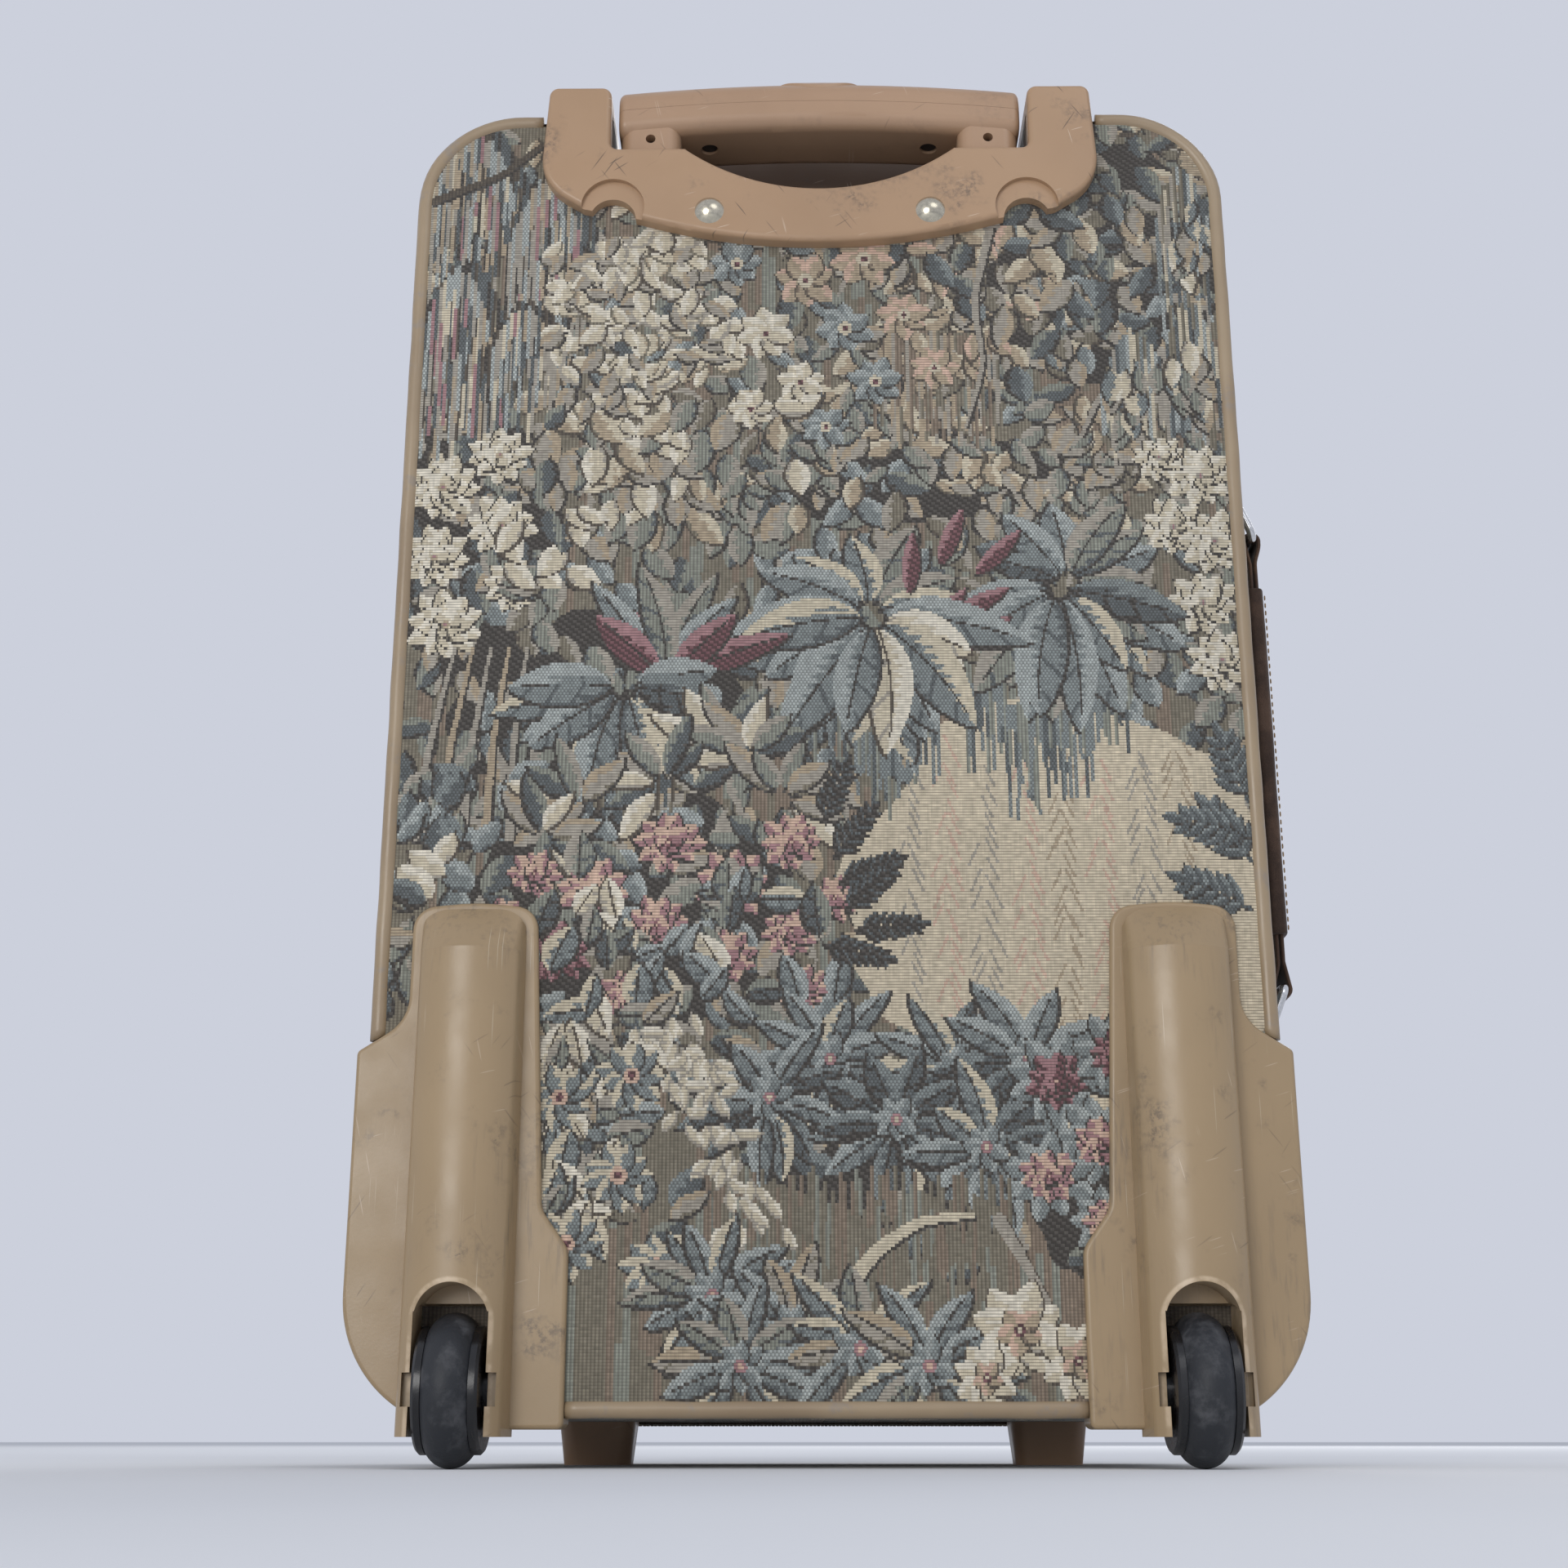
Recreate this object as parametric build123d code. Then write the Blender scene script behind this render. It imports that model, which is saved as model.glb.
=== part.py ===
from build123d import *
import math
import os

# Soft-sided suitcase on two wheels and two feet, standing upright. The back, with the telescopic
# handle and the wheels, faces -Y, and the lid faces +Y. Lengths are in millimetres. Pieces are drawn
# with y = 0 on the back cloth and x = 0 on the middle plane, then moved so that the origin is the
# middle of the footprint on the ground.

# Driving dimensions
CASE_WIDTH = 333.0
CASE_HEIGHT = 524.5
CASE_FLOOR = 16.5
CORNER_RADIUS = 42.0
BODY_DEPTH = 160.0
LID_DEPTH = 31.0
WALL = 3.0
SIDE_BULGE = 9.0
PIPING_DIAMETER = 6.5
TUBE_SPACING = 141.0
WHEEL_SPACING = 258.0
WHEEL_RADIUS = 26.0
GRIP_WIDTH = 168.0
HANDLE_TRAVEL = 380.0
BUTTON_TRAVEL = 3.0

# Gaps shared by all pieces
SEAT = 0.1
CLEARANCE = 0.35
RUNNING_FIT = 0.05
OVERRUN = 30.0

# Case outline and soft walls
CASE_HALF = CASE_WIDTH / 2
CASE_TOP = CASE_FLOOR + CASE_HEIGHT
CASE_MID = CASE_FLOOR + CASE_HEIGHT / 2
WALL_SETBACK = 0.5
PIPING_RADIUS = PIPING_DIAMETER / 2
PIPING_DEPTH = PIPING_RADIUS / 2
WALL_REAR = PIPING_DEPTH + PIPING_RADIUS + SEAT
ZIP_TAPE_WIDTH = 11.0
ZIP_TAPE_THICKNESS = 1.0
ZIP_GAP = 0.6
SEAM_REAR = BODY_DEPTH - ZIP_GAP / 2
SEAM_FRONT = BODY_DEPTH + ZIP_GAP / 2
BULGE_FRONT = SEAM_REAR - ZIP_TAPE_WIDTH
LID_FRONT = BODY_DEPTH + LID_DEPTH
LID_WALL_FRONT = LID_FRONT - WALL_REAR

# Handle bezel and its rivets
BEZEL_STAND = 7.0
BEZEL_EDGE = 2.0
BAR_DROP = 20.0
ARC_HALF = 55.7
ARC_DEPTH = 19.0
PRONG_INNER = 86.7
PRONG_OUTER = 115.5
PRONG_TAPER = 3.0
PRONG_RISE = 9.5
PRONG_REACH = 46.0
PRONG_CORNER = 4.0
SLOT_CORNER = 3.0
BEZEL_SHOULDER_DROP = 36.0
BEZEL_SHOULDER_RADIUS = 22.0
BEZEL_TIP_X = 97.0
BEZEL_TIP_DROP = 48.0
BEZEL_TIP_RADIUS = 2.5
LOWER_EDGE_HALF = 73.5
LOWER_EDGE_DROP = 53.0
BEZEL_BOTTOM_DROP = 64.0
DISH_X = 85.0
DISH_DROP = 48.0
DISH_RADIUS = 13.0
DISH_DEPTH = 2.0
NOTCH_RADIUS = 9.5
NOTCH_DROP = 53.0
RIVET_X = 45.3
RIVET_DROP = 50.0
RIVET_HEAD_RADIUS = 6.0
RIVET_HEAD_RISE = 2.6
RIVET_SHANK_RADIUS = 2.4
RIVET_TAIL_RADIUS = 4.0
RIVET_TAIL_RISE = 1.5

# Handle cup
CUP_WALL = 2.0
CUP_DEPTH = 42.0
CUP_FLOOR_DROP = 57.0
CUP_RIM = 6.0
CUP_LIP = 8.0

# Telescopic tubes
TUBE_X = TUBE_SPACING / 2
TUBE_Y = 14.5
INNER_TUBE_RADIUS = 8.0
OUTER_TUBE_RADIUS = 10.2
TUBE_WALL = 1.0
OUTER_TUBE_PROUD = 5.0
TUBE_BUSH_LENGTH = 18.0
TUBE_BUSH_FLANGE = 2.0
BASE_THICKNESS = 6.0
BASE_BOSS_WALL = 1.0
BASE_BOSS_HEIGHT = 20.0
BASE_SOCKET_FLOOR = 4.0
BASE_WEB_HALF = 6.0

# Grip
GRIP_HALF = GRIP_WIDTH / 2
GRIP_DEPTH = 33.0
GRIP_HEIGHT = 22.5
GRIP_TOP_RISE = 17.0
GRIP_CROWN = 4.5
GRIP_SHOULDER = 8.0
GRIP_KEEL = 6.0
GRIP_END_RADIUS = 3.0
GRIP_SPLIT_DROP = 11.4
GRIP_SPLIT_GAP = 0.1
SLEEVE_WIDTH = 25.0
SLEEVE_DEPTH = 30.0
SLEEVE_RADIUS = 6.0
SLEEVE_DROP = 17.0
ROLL_PIN_RADIUS = 2.0
ROLL_PIN_RISE = 5.5
ROLL_PIN_LENGTH = 20.0
SCREW_X = 46.5
SCREW_HEAD_RADIUS = 3.2
SCREW_HEAD_HEIGHT = 2.0
SCREW_SHANK_RADIUS = 1.5
SCREW_RECESS_RADIUS = 3.6
SCREW_RECESS_DEPTH = 3.0
SCREW_BITE = 6.0

# Push button, yoke, rods, spring and lock pins
BUTTON_HALF_LENGTH = 20.5
BUTTON_HALF_DEPTH = 15.5
BUTTON_PROUD = 1.2
YOKE_DROP = 9.0
YOKE_HEIGHT = 4.0
YOKE_DEPTH = 6.0
YOKE_OVERHANG = 1.5
YOKE_EYE_WALL = 2.0
ROD_RADIUS = 1.5
ROD_OFFSET = 4.5
SPRING_RADIUS = 4.0
SPRING_WIRE = 0.8
SPRING_HEIGHT = 5.0
SPRING_TURNS = 3
GUIDE_LENGTH = 26.0
GUIDE_PLUG_LENGTH = 12.0
GUIDE_STOP = 1.0
LOCK_PIN_RADIUS = 2.5
LOCK_PIN_RISE = 10.0
LOCK_PIN_INNER = 1.0
LOCK_CHAMBER = 5.0
LOCK_ROD_GAP = 1.5

# Wheels and axles
WHEEL_X = WHEEL_SPACING / 2
WHEEL_Y = -6.0
TYRE_WIDTH = 16.0
TYRE_BEAD_RADIUS = 19.0
TYRE_SHOULDER_RADIUS = 21.0
DISC_RADIUS = 21.5
DISC_THICKNESS = 3.2
DISC_BEVEL = 1.0
HUB_BOSS_RADIUS = 6.5
AXLE_RADIUS = 3.0
BUSH_WALL = 1.5

# Wheel housings
HOUSING_LIFT = 3.5
HOUSING_WRAP = 14.0
HOUSING_EDGE = 1.6
SPINE_HALF = 20.0
SPINE_SHOULDER_INSET = 2.0
SPINE_FOOT_CROWN = 25.0
SPINE_FOOT_SHOULDER = 15.0
SPINE_HEAD_CROWN = 18.0
SPINE_HEAD_SHOULDER = 11.0
SPINE_SIDE_RADIUS = 5.0
FLANGE_TOP = 198.0
SPINE_BOTTOM = 10.5
SPINE_STEP = 1.0
SPINE_TOP = FLANGE_TOP - SPINE_STEP
SPINE_CORNER = 11.0
NOSE_LENGTH = 57.0
NOSE_LOW = SPINE_TOP - NOSE_LENGTH
NOSE_LOW_CROWN = 24.5
NOSE_LOW_SHOULDER = 18.3
NOSE_BROW_DROP = 11.0
NOSE_BROW = SPINE_TOP - NOSE_BROW_DROP
NOSE_BROW_CROWN = 15.0
NOSE_BROW_SHOULDER = 9.6
NOSE_TIP_CROWN = 5.6
NOSE_TIP_SHOULDER = 4.4
NOSE_TIP_RADIUS = 1.6
FLANGE_CROWN = 2.5
FLANGE_CROWN_RADIUS = 90.0
FLANGE_TOP_INNER = 106.0
FLANGE_TOP_OUTER = 152.0
FLANGE_TOP_RADIUS = 9.0
FLANGE_STEP_TOP = 156.0
FLANGE_STEP_FOOT = 144.5
FLANGE_STEP_RADIUS = 16.0
FLANGE_STEP_NOSE = 2.5
FLANGE_WAIST = 101.0
FLANGE_WAIST_Z = 88.0
FLANGE_FOOT_X = 91.0
FLANGE_FOOT_Z = 74.0
FLANGE_BLEND = 9.0
ARCH_HALF = 13.0
ARCH_TOP = 61.4
WELL_GAP = 3.0
WELL_WALL = 2.5
NOTCH_DEPTH = 3.2
NOTCH_LOW = 20.3
NOTCH_HIGH = 31.5
NOTCH_FLOOR = 14.0
AXLE_SEAT = 5.0

# Feet
FOOT_X = 91.0
FOOT_ZIP_GAP = 0.2
FOOT_TOP_WIDTH = 31.0
FOOT_TOP_DEPTH = 25.0
FOOT_Y = BULGE_FRONT - FOOT_ZIP_GAP - FOOT_TOP_DEPTH / 2
FOOT_TOE_WIDTH = 27.0
FOOT_TOE_DEPTH = 22.0
FOOT_CORNER = 6.0
FOOT_SCREW_RADIUS = 3.5
FOOT_SCREW_RECESS = 9.0
FOOT_SCREW_HEAD = 2.5
FOOT_SCREW_SHANK = 1.8

# Side carry handle
CARRY_Y = 80.0
CARRY_SPAN = 194.0
CARRY_GAP = 7.0
STRAP_WIDTH = 26.0
STRAP_THICKNESS = 4.0
LOOP_WALL = 2.2
RING_WIRE_RADIUS = 1.8
RING_LENGTH = 34.0
RING_REACH = 16.0
RING_STAND = 11.5
LOOP_LENGTH = 12.0
RING_CORNER = 4.0
SLEEVE_END_GAP = 22.0
SLEEVE_SPAN = CARRY_SPAN - 2 * SLEEVE_END_GAP
SLEEVE_SKIN = 2.0
SLEEVE_EDGE = 2.6
TAB_WIDTH = 24.0
TAB_LENGTH = 34.0
TAB_STAND = 9.5
TAB_EYE_WALL = 1.8
TAB_RIVET_INSET = 11.0
TAB_RIVET_PITCH = 14.0
TAB_RIVET_SHANK = 1.6
TAB_RIVET_RADIUS = 3.5
TAB_RIVET_RISE = 1.6

# Front pocket
POCKET_MARGIN = 25.5
POCKET_FOOT = 37.25
POCKET_HEAD = 117.25
POCKET_WIDTH = CASE_WIDTH - 2 * POCKET_MARGIN
POCKET_HEIGHT = CASE_HEIGHT - POCKET_FOOT - POCKET_HEAD
POCKET_RADIUS = 36.0
POCKET_THICKNESS = 13.0
POCKET_EDGE = 5.0
POCKET_ZIP_DROP = 64.0
POCKET_ZIP_MARGIN = 23.0
POCKET_ZIP_LENGTH = POCKET_WIDTH - 2 * POCKET_ZIP_MARGIN
POCKET_ZIP_WIDTH = 20.0

# Zip sliders and pulls
SLIDER_LENGTH = 12.0
SLIDER_WIDTH = 9.0
SLIDER_HEIGHT = 3.4
SLIDER_CORNER = 2.5
BAIL_HALF = 4.2
BAIL_WIDTH = 2.4
BAIL_WALL = 1.2
PULL_PIN_RADIUS = 0.8
PULL_THICKNESS = 1.6
PULL_LENGTH = 30.0
PULL_WIDTH = 8.0
PULL_FORK = 6.0
PULL_CORNER = 3.0
SLIDER_SPLIT = 44.0
SLIDER_RISE = 60.0
POCKET_SLIDER_INSET = 10.0

# Move that puts the origin under the middle of the standing case
WALL_FACE = CASE_HALF - WALL_SETBACK
STRAP_INNER = WALL_FACE + SIDE_BULGE + CARRY_GAP
CARRY_OUTER = STRAP_INNER + STRAP_THICKNESS + SLEEVE_SKIN
SLIDER_STACK = SLIDER_HEIGHT + 2 * CLEARANCE + 2 * PULL_PIN_RADIUS + BAIL_WALL
POCKET_FRONT = LID_FRONT + SEAT + POCKET_THICKNESS
FRONT_REACH = POCKET_FRONT + SEAT + ZIP_TAPE_THICKNESS + CLEARANCE + SLIDER_STACK
REAR_REACH = WHEEL_Y - WHEEL_RADIUS
SHIFT_X = (WALL_FACE + SIDE_BULGE - CARRY_OUTER) / 2
SHIFT_Y = -(REAR_REACH + FRONT_REACH) / 2


def slab(outline, rear, front):
    """Extrude an outline drawn in x and z from y = rear to y = front."""
    return extrude(Plane.XZ.offset(-front) * outline, amount=front - rear)


def bar(profile, left, right):
    """Extrude a profile drawn in y and z from x = left to x = right."""
    return extrude(Plane.YZ.offset(left) * profile, amount=right - left)


def post(plan, bottom, top):
    """Extrude a plan drawn in x and y from z = bottom to z = top."""
    return extrude(Plane.XY.offset(bottom) * plan, amount=top - bottom)


def block(x_range, y_range, z_range):
    """Box between two limits on each axis."""
    spans = [high - low for low, high in (x_range, y_range, z_range)]
    middle = [(high + low) / 2 for low, high in (x_range, y_range, z_range)]
    return Pos(*middle) * Box(*spans)


def rod(radius, start, end):
    """Round bar between two points."""
    axis = Vector(*end) - Vector(*start)
    return extrude(Plane(origin=start, z_dir=axis) * Circle(radius), amount=axis.length)


def both_sides(piece):
    """The piece and its mirror image across the middle plane."""
    return piece + mirror(piece, about=Plane.YZ)


def case_outline(inset):
    """Rounded case outline in x and z, drawn in from the piping's outer edge."""
    width = CASE_WIDTH - 2 * inset
    height = CASE_HEIGHT - 2 * inset
    return Pos(0, CASE_MID) * RectangleRounded(width, height, CORNER_RADIUS - inset)


def bowed_section(depth, inset, bulge):
    """Case outline at one depth, with both sides bowed out by the bulge."""
    half = CASE_HALF - inset
    radius = CORNER_RADIUS - inset
    low = CASE_FLOOR + inset
    high = CASE_TOP - inset
    turn_x = half - radius
    turn_low = low + radius
    turn_high = high - radius
    up = (0, 1)
    right = Spline((half, turn_low), (half + bulge, CASE_MID), (half, turn_high), tangents=(up, up))
    edges = [
        Line((-turn_x, low), (turn_x, low)),
        CenterArc((turn_x, turn_low), radius, -90, 90),
        right,
        CenterArc((turn_x, turn_high), radius, 0, 90),
        Line((turn_x, high), (-turn_x, high)),
        CenterArc((-turn_x, turn_high), radius, 90, 90),
        mirror(right, about=Plane.YZ),
        CenterArc((-turn_x, turn_low), radius, 180, 90),
    ]
    return Plane.XZ.offset(-depth) * make_face(edges)


def bowed_body(inset):
    """Body of the case with softly bulging sides, straight under the zip tape."""
    middle = (WALL_REAR + BULGE_FRONT) / 2
    sections = [
        bowed_section(WALL_REAR, inset, 0),
        bowed_section(middle, inset, SIDE_BULGE),
        bowed_section(BULGE_FRONT, inset, 0),
    ]
    return loft(sections) + slab(case_outline(inset), BULGE_FRONT, SEAM_REAR)


def well_space(wall):
    """Room for the right wheel, open below and grown by a wall."""
    radius = WHEEL_RADIUS + WELL_GAP + wall
    half = ARCH_HALF + wall
    drum = rod(radius, (WHEEL_X - half, WHEEL_Y, WHEEL_RADIUS), (WHEEL_X + half, WHEEL_Y, WHEEL_RADIUS))
    depth = (WHEEL_Y - radius, WHEEL_Y + radius)
    return drum + block((WHEEL_X - half, WHEEL_X + half), depth, (-OVERRUN, WHEEL_RADIUS))


def slot_outline():
    """Opening between the bezel's prongs, with the finger arc in its lower edge."""
    bar_top = CASE_TOP - BAR_DROP
    top = CASE_TOP + OVERRUN
    edges = [
        ThreePointArc((-ARC_HALF, bar_top), (0, bar_top - ARC_DEPTH), (ARC_HALF, bar_top)),
        Polyline(
            (ARC_HALF, bar_top),
            (PRONG_INNER, bar_top),
            (PRONG_INNER, top),
            (-PRONG_INNER, top),
            (-PRONG_INNER, bar_top),
            (-ARC_HALF, bar_top),
        ),
    ]
    return make_face(edges)


def rivet_holes():
    """Holes for the two bezel rivets."""
    height = CASE_TOP - RIVET_DROP
    radius = RIVET_SHANK_RADIUS + SEAT
    return both_sides(rod(radius, (RIVET_X, -OVERRUN, height), (RIVET_X, OVERRUN, height)))


def back_panel():
    """Cloth-covered board between the piping, open at the handle and the wheel wells."""
    board = slab(case_outline(PIPING_DIAMETER + SEAT), 0, WALL)
    board -= slab(slot_outline(), -OVERRUN, OVERRUN)
    return board - both_sides(well_space(WELL_WALL + SEAT)) - rivet_holes()


def body_wall():
    """Stiffened cloth wall round the case, cut for the handle cup and the wheel wells."""
    wall = bowed_body(WALL_SETBACK) - bowed_body(WALL_SETBACK + WALL)
    cup_half = PRONG_INNER + CUP_WALL + SEAT
    cup_front = WALL + CUP_DEPTH + CUP_WALL + 2 * SEAT
    wall -= block((-cup_half, cup_half), (0, cup_front), (CASE_TOP - OVERRUN, CASE_TOP + OVERRUN))
    foot_hole = foot_post(FOOT_SCREW_SHANK + SEAT, 0, CASE_MID)
    return wall - both_sides(well_space(WELL_WALL + SEAT) + foot_hole) - tab_rivet_holes()


def piping_ring(depth):
    """Closed vinyl piping round the case outline at one depth."""
    path = (Plane.XZ.offset(-depth) * case_outline(PIPING_RADIUS)).wire()
    start = Plane(origin=path @ 0, z_dir=path % 0)
    return sweep(start * Circle(PIPING_RADIUS), path=path)


def rear_piping():
    """Rear piping, in the stretches between the bezel's prongs and the wheel housings."""
    ring = piping_ring(PIPING_DEPTH)
    band = (-OVERRUN, OVERRUN)
    ring -= block((-PRONG_OUTER - SEAT, PRONG_OUTER + SEAT), band, (CASE_MID, CASE_TOP + OVERRUN))
    return ring - both_sides(slab(offset(flange_outline(), SEAT), *band))


def bezel_outline():
    """Back outline of the bezel: prongs, finger arc, rounded tips and bowed lower edge."""
    bar_top = CASE_TOP - BAR_DROP
    prong_top = CASE_TOP + PRONG_RISE
    lower = (LOWER_EDGE_HALF, CASE_TOP - LOWER_EDGE_DROP)
    side = FilletPolyline(
        (ARC_HALF, bar_top),
        (PRONG_INNER, bar_top),
        (PRONG_INNER, prong_top),
        (PRONG_OUTER - PRONG_TAPER, prong_top),
        (PRONG_OUTER, CASE_TOP - BEZEL_SHOULDER_DROP),
        (BEZEL_TIP_X, CASE_TOP - BEZEL_TIP_DROP),
        lower,
        radius=[SLOT_CORNER, PRONG_CORNER, PRONG_CORNER, BEZEL_SHOULDER_RADIUS, BEZEL_TIP_RADIUS],
    )
    edges = [
        ThreePointArc((-ARC_HALF, bar_top), (0, bar_top - ARC_DEPTH), (ARC_HALF, bar_top)),
        side,
        mirror(side, about=Plane.YZ),
        ThreePointArc(lower, (0, CASE_TOP - BEZEL_BOTTOM_DROP), (-LOWER_EDGE_HALF, lower[1])),
    ]
    return make_face(edges)


def handle_bezel():
    """Moulded plate on the back, with prongs that reach over the top and thumb dishes."""
    plate = slab(bezel_outline(), -BEZEL_STAND, -SEAT)
    above = (CASE_TOP + SEAT, CASE_TOP + OVERRUN)
    over_top = slab(bezel_outline(), -BEZEL_STAND, PRONG_REACH)
    over_top &= block((-CASE_WIDTH, CASE_WIDTH), (-OVERRUN, PRONG_REACH), above)
    plate += over_top
    plate = fillet(plate.edges().group_by(Axis.Y)[0], BEZEL_EDGE)
    dish_z = CASE_TOP - DISH_DROP
    dish = rod(DISH_RADIUS, (DISH_X, -OVERRUN, dish_z), (DISH_X, DISH_DEPTH - BEZEL_STAND, dish_z))
    notch_z = CASE_TOP - NOTCH_DROP
    notch = rod(NOTCH_RADIUS, (DISH_X, -OVERRUN, notch_z), (DISH_X, OVERRUN, notch_z))
    return plate - both_sides(dish + notch) - rivet_holes()


def domed_head(radius, rise):
    """Cap of a ball, flat side on z = 0."""
    ball = (radius**2 + rise**2) / (2 * rise)
    return Pos(0, 0, rise - ball) * Sphere(ball) & block((-ball, ball), (-ball, ball), (0, ball))


def bezel_rivets():
    """Domed rivets through the bezel and the back board."""
    height = CASE_TOP - RIVET_DROP
    face = Plane(origin=(RIVET_X, -BEZEL_STAND, height), z_dir=(0, -1, 0))
    head = domed_head(RIVET_HEAD_RADIUS, RIVET_HEAD_RISE)
    back = WALL + SEAT
    shank = rod(RIVET_SHANK_RADIUS, (RIVET_X, -BEZEL_STAND, height), (RIVET_X, back, height))
    tail = rod(RIVET_TAIL_RADIUS, (RIVET_X, back, height), (RIVET_X, back + RIVET_TAIL_RISE, height))
    return both_sides(face * head + shank + tail)


def handle_cup():
    """Tray behind the bezel that takes the stowed grip, with a rim on the top of the case."""
    half = PRONG_INNER + CUP_WALL
    rear = WALL + SEAT
    front = rear + CUP_DEPTH + CUP_WALL
    floor = CASE_TOP - CUP_FLOOR_DROP
    back = rear + 2 * CUP_WALL
    tray = block((-half, half), (rear, front), (floor, CASE_TOP))
    inside = (rear + CUP_WALL, front - CUP_WALL)
    tray -= block((-PRONG_INNER, PRONG_INNER), inside, (floor + CUP_WALL, CASE_TOP + OVERRUN))
    tray -= slab(slot_outline(), 0, back)
    rim_x = (SEAT - PRONG_INNER, PRONG_INNER - SEAT)
    rim_low = CASE_TOP + SEAT
    tray += block(rim_x, (front - CUP_WALL, front), (CASE_TOP - CUP_WALL, rim_low + CUP_LIP))
    tray += block(rim_x, (front - CUP_WALL, front + CUP_RIM), (rim_low, rim_low + CUP_WALL))
    tube = rod(OUTER_TUBE_RADIUS + SEAT, (TUBE_X, TUBE_Y, 0), (TUBE_X, TUBE_Y, CASE_TOP - BAR_DROP))
    rivet_z = CASE_TOP - RIVET_DROP
    tail = rod(RIVET_TAIL_RADIUS + SEAT, (RIVET_X, 0, rivet_z), (RIVET_X, back, rivet_z))
    return tray - both_sides(tube + tail)


BASE_BOTTOM = CASE_FLOOR + WALL_SETBACK + WALL + SEAT
OUTER_TUBE_BOTTOM = BASE_BOTTOM + BASE_SOCKET_FLOOR
OUTER_TUBE_TOP = CASE_TOP - CUP_FLOOR_DROP + CUP_WALL + OUTER_TUBE_PROUD
OUTER_TUBE_BORE = OUTER_TUBE_RADIUS - TUBE_WALL
INNER_TUBE_BORE = INNER_TUBE_RADIUS - TUBE_WALL
GUIDE_TOP = OUTER_TUBE_TOP - TUBE_BUSH_LENGTH - HANDLE_TRAVEL - GUIDE_STOP
GUIDE_BOTTOM = GUIDE_TOP - GUIDE_LENGTH
LOCK_PIN_Z = GUIDE_BOTTOM + LOCK_PIN_RISE
GRIP_TOP = CASE_TOP + GRIP_TOP_RISE
CROWN_RADIUS = (GRIP_HALF**2 + GRIP_CROWN**2) / (2 * GRIP_CROWN)
CROWN_AXIS_Z = GRIP_TOP - CROWN_RADIUS
YOKE_TOP = GRIP_TOP - YOKE_DROP
YOKE_BOTTOM = YOKE_TOP - YOKE_HEIGHT
INNER_TUBE_TOP = YOKE_BOTTOM - BUTTON_TRAVEL - CLEARANCE
SLEEVE_BOTTOM = CASE_TOP - SLEEVE_DROP
ROLL_PIN_Z = SLEEVE_BOTTOM + ROLL_PIN_RISE
ROD_X = TUBE_X - ROD_OFFSET


def tube_post(radius, bottom, top):
    """Upright round bar on the right tube's axis."""
    return rod(radius, (TUBE_X, TUBE_Y, bottom), (TUBE_X, TUBE_Y, top))


def outer_tube():
    """Right outer tube, from the base socket up through the cup floor."""
    tube = tube_post(OUTER_TUBE_RADIUS, OUTER_TUBE_BOTTOM, OUTER_TUBE_TOP)
    return tube - tube_post(OUTER_TUBE_BORE, OUTER_TUBE_BOTTOM, OUTER_TUBE_TOP)


def tube_bushes():
    """Flanged guide bushes in the tops of the outer tubes."""
    low = OUTER_TUBE_TOP - TUBE_BUSH_LENGTH
    high = OUTER_TUBE_TOP + TUBE_BUSH_FLANGE
    bush = tube_post(OUTER_TUBE_BORE - RUNNING_FIT, low, OUTER_TUBE_TOP)
    bush += tube_post(OUTER_TUBE_RADIUS, OUTER_TUBE_TOP, high)
    return both_sides(bush - tube_post(INNER_TUBE_RADIUS + CLEARANCE, low, high))


def tube_base():
    """Bracket on the case floor with a socket for each outer tube."""
    boss_radius = OUTER_TUBE_RADIUS + SEAT + BASE_BOSS_WALL
    web_y = (TUBE_Y - BASE_WEB_HALF, TUBE_Y + BASE_WEB_HALF)
    bracket = block((-TUBE_X, TUBE_X), web_y, (BASE_BOTTOM, BASE_BOTTOM + BASE_THICKNESS))
    bracket += both_sides(tube_post(boss_radius, BASE_BOTTOM, BASE_BOTTOM + BASE_BOSS_HEIGHT))
    bracket -= block((-CASE_HALF, CASE_HALF), (0, WALL_REAR), (0, CASE_FLOOR + PIPING_DIAMETER + SEAT))
    socket = tube_post(OUTER_TUBE_RADIUS + SEAT, OUTER_TUBE_BOTTOM, OUTER_TUBE_TOP)
    return bracket - both_sides(socket)


def inner_tube():
    """Right inner tube, from the guide up into the grip's sleeve, drilled for its roll pin."""
    tube = tube_post(INNER_TUBE_RADIUS, GUIDE_TOP, INNER_TUBE_TOP)
    tube -= tube_post(INNER_TUBE_BORE, GUIDE_TOP, INNER_TUBE_TOP)
    return tube - roll_pin(RUNNING_FIT, OVERRUN)


def roll_pin(gap, length):
    """Right roll pin across the sleeve and the tube, grown by a gap."""
    start = (TUBE_X, TUBE_Y - length / 2, ROLL_PIN_Z)
    end = (TUBE_X, TUBE_Y + length / 2, ROLL_PIN_Z)
    return rod(ROLL_PIN_RADIUS + gap, start, end)


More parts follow.
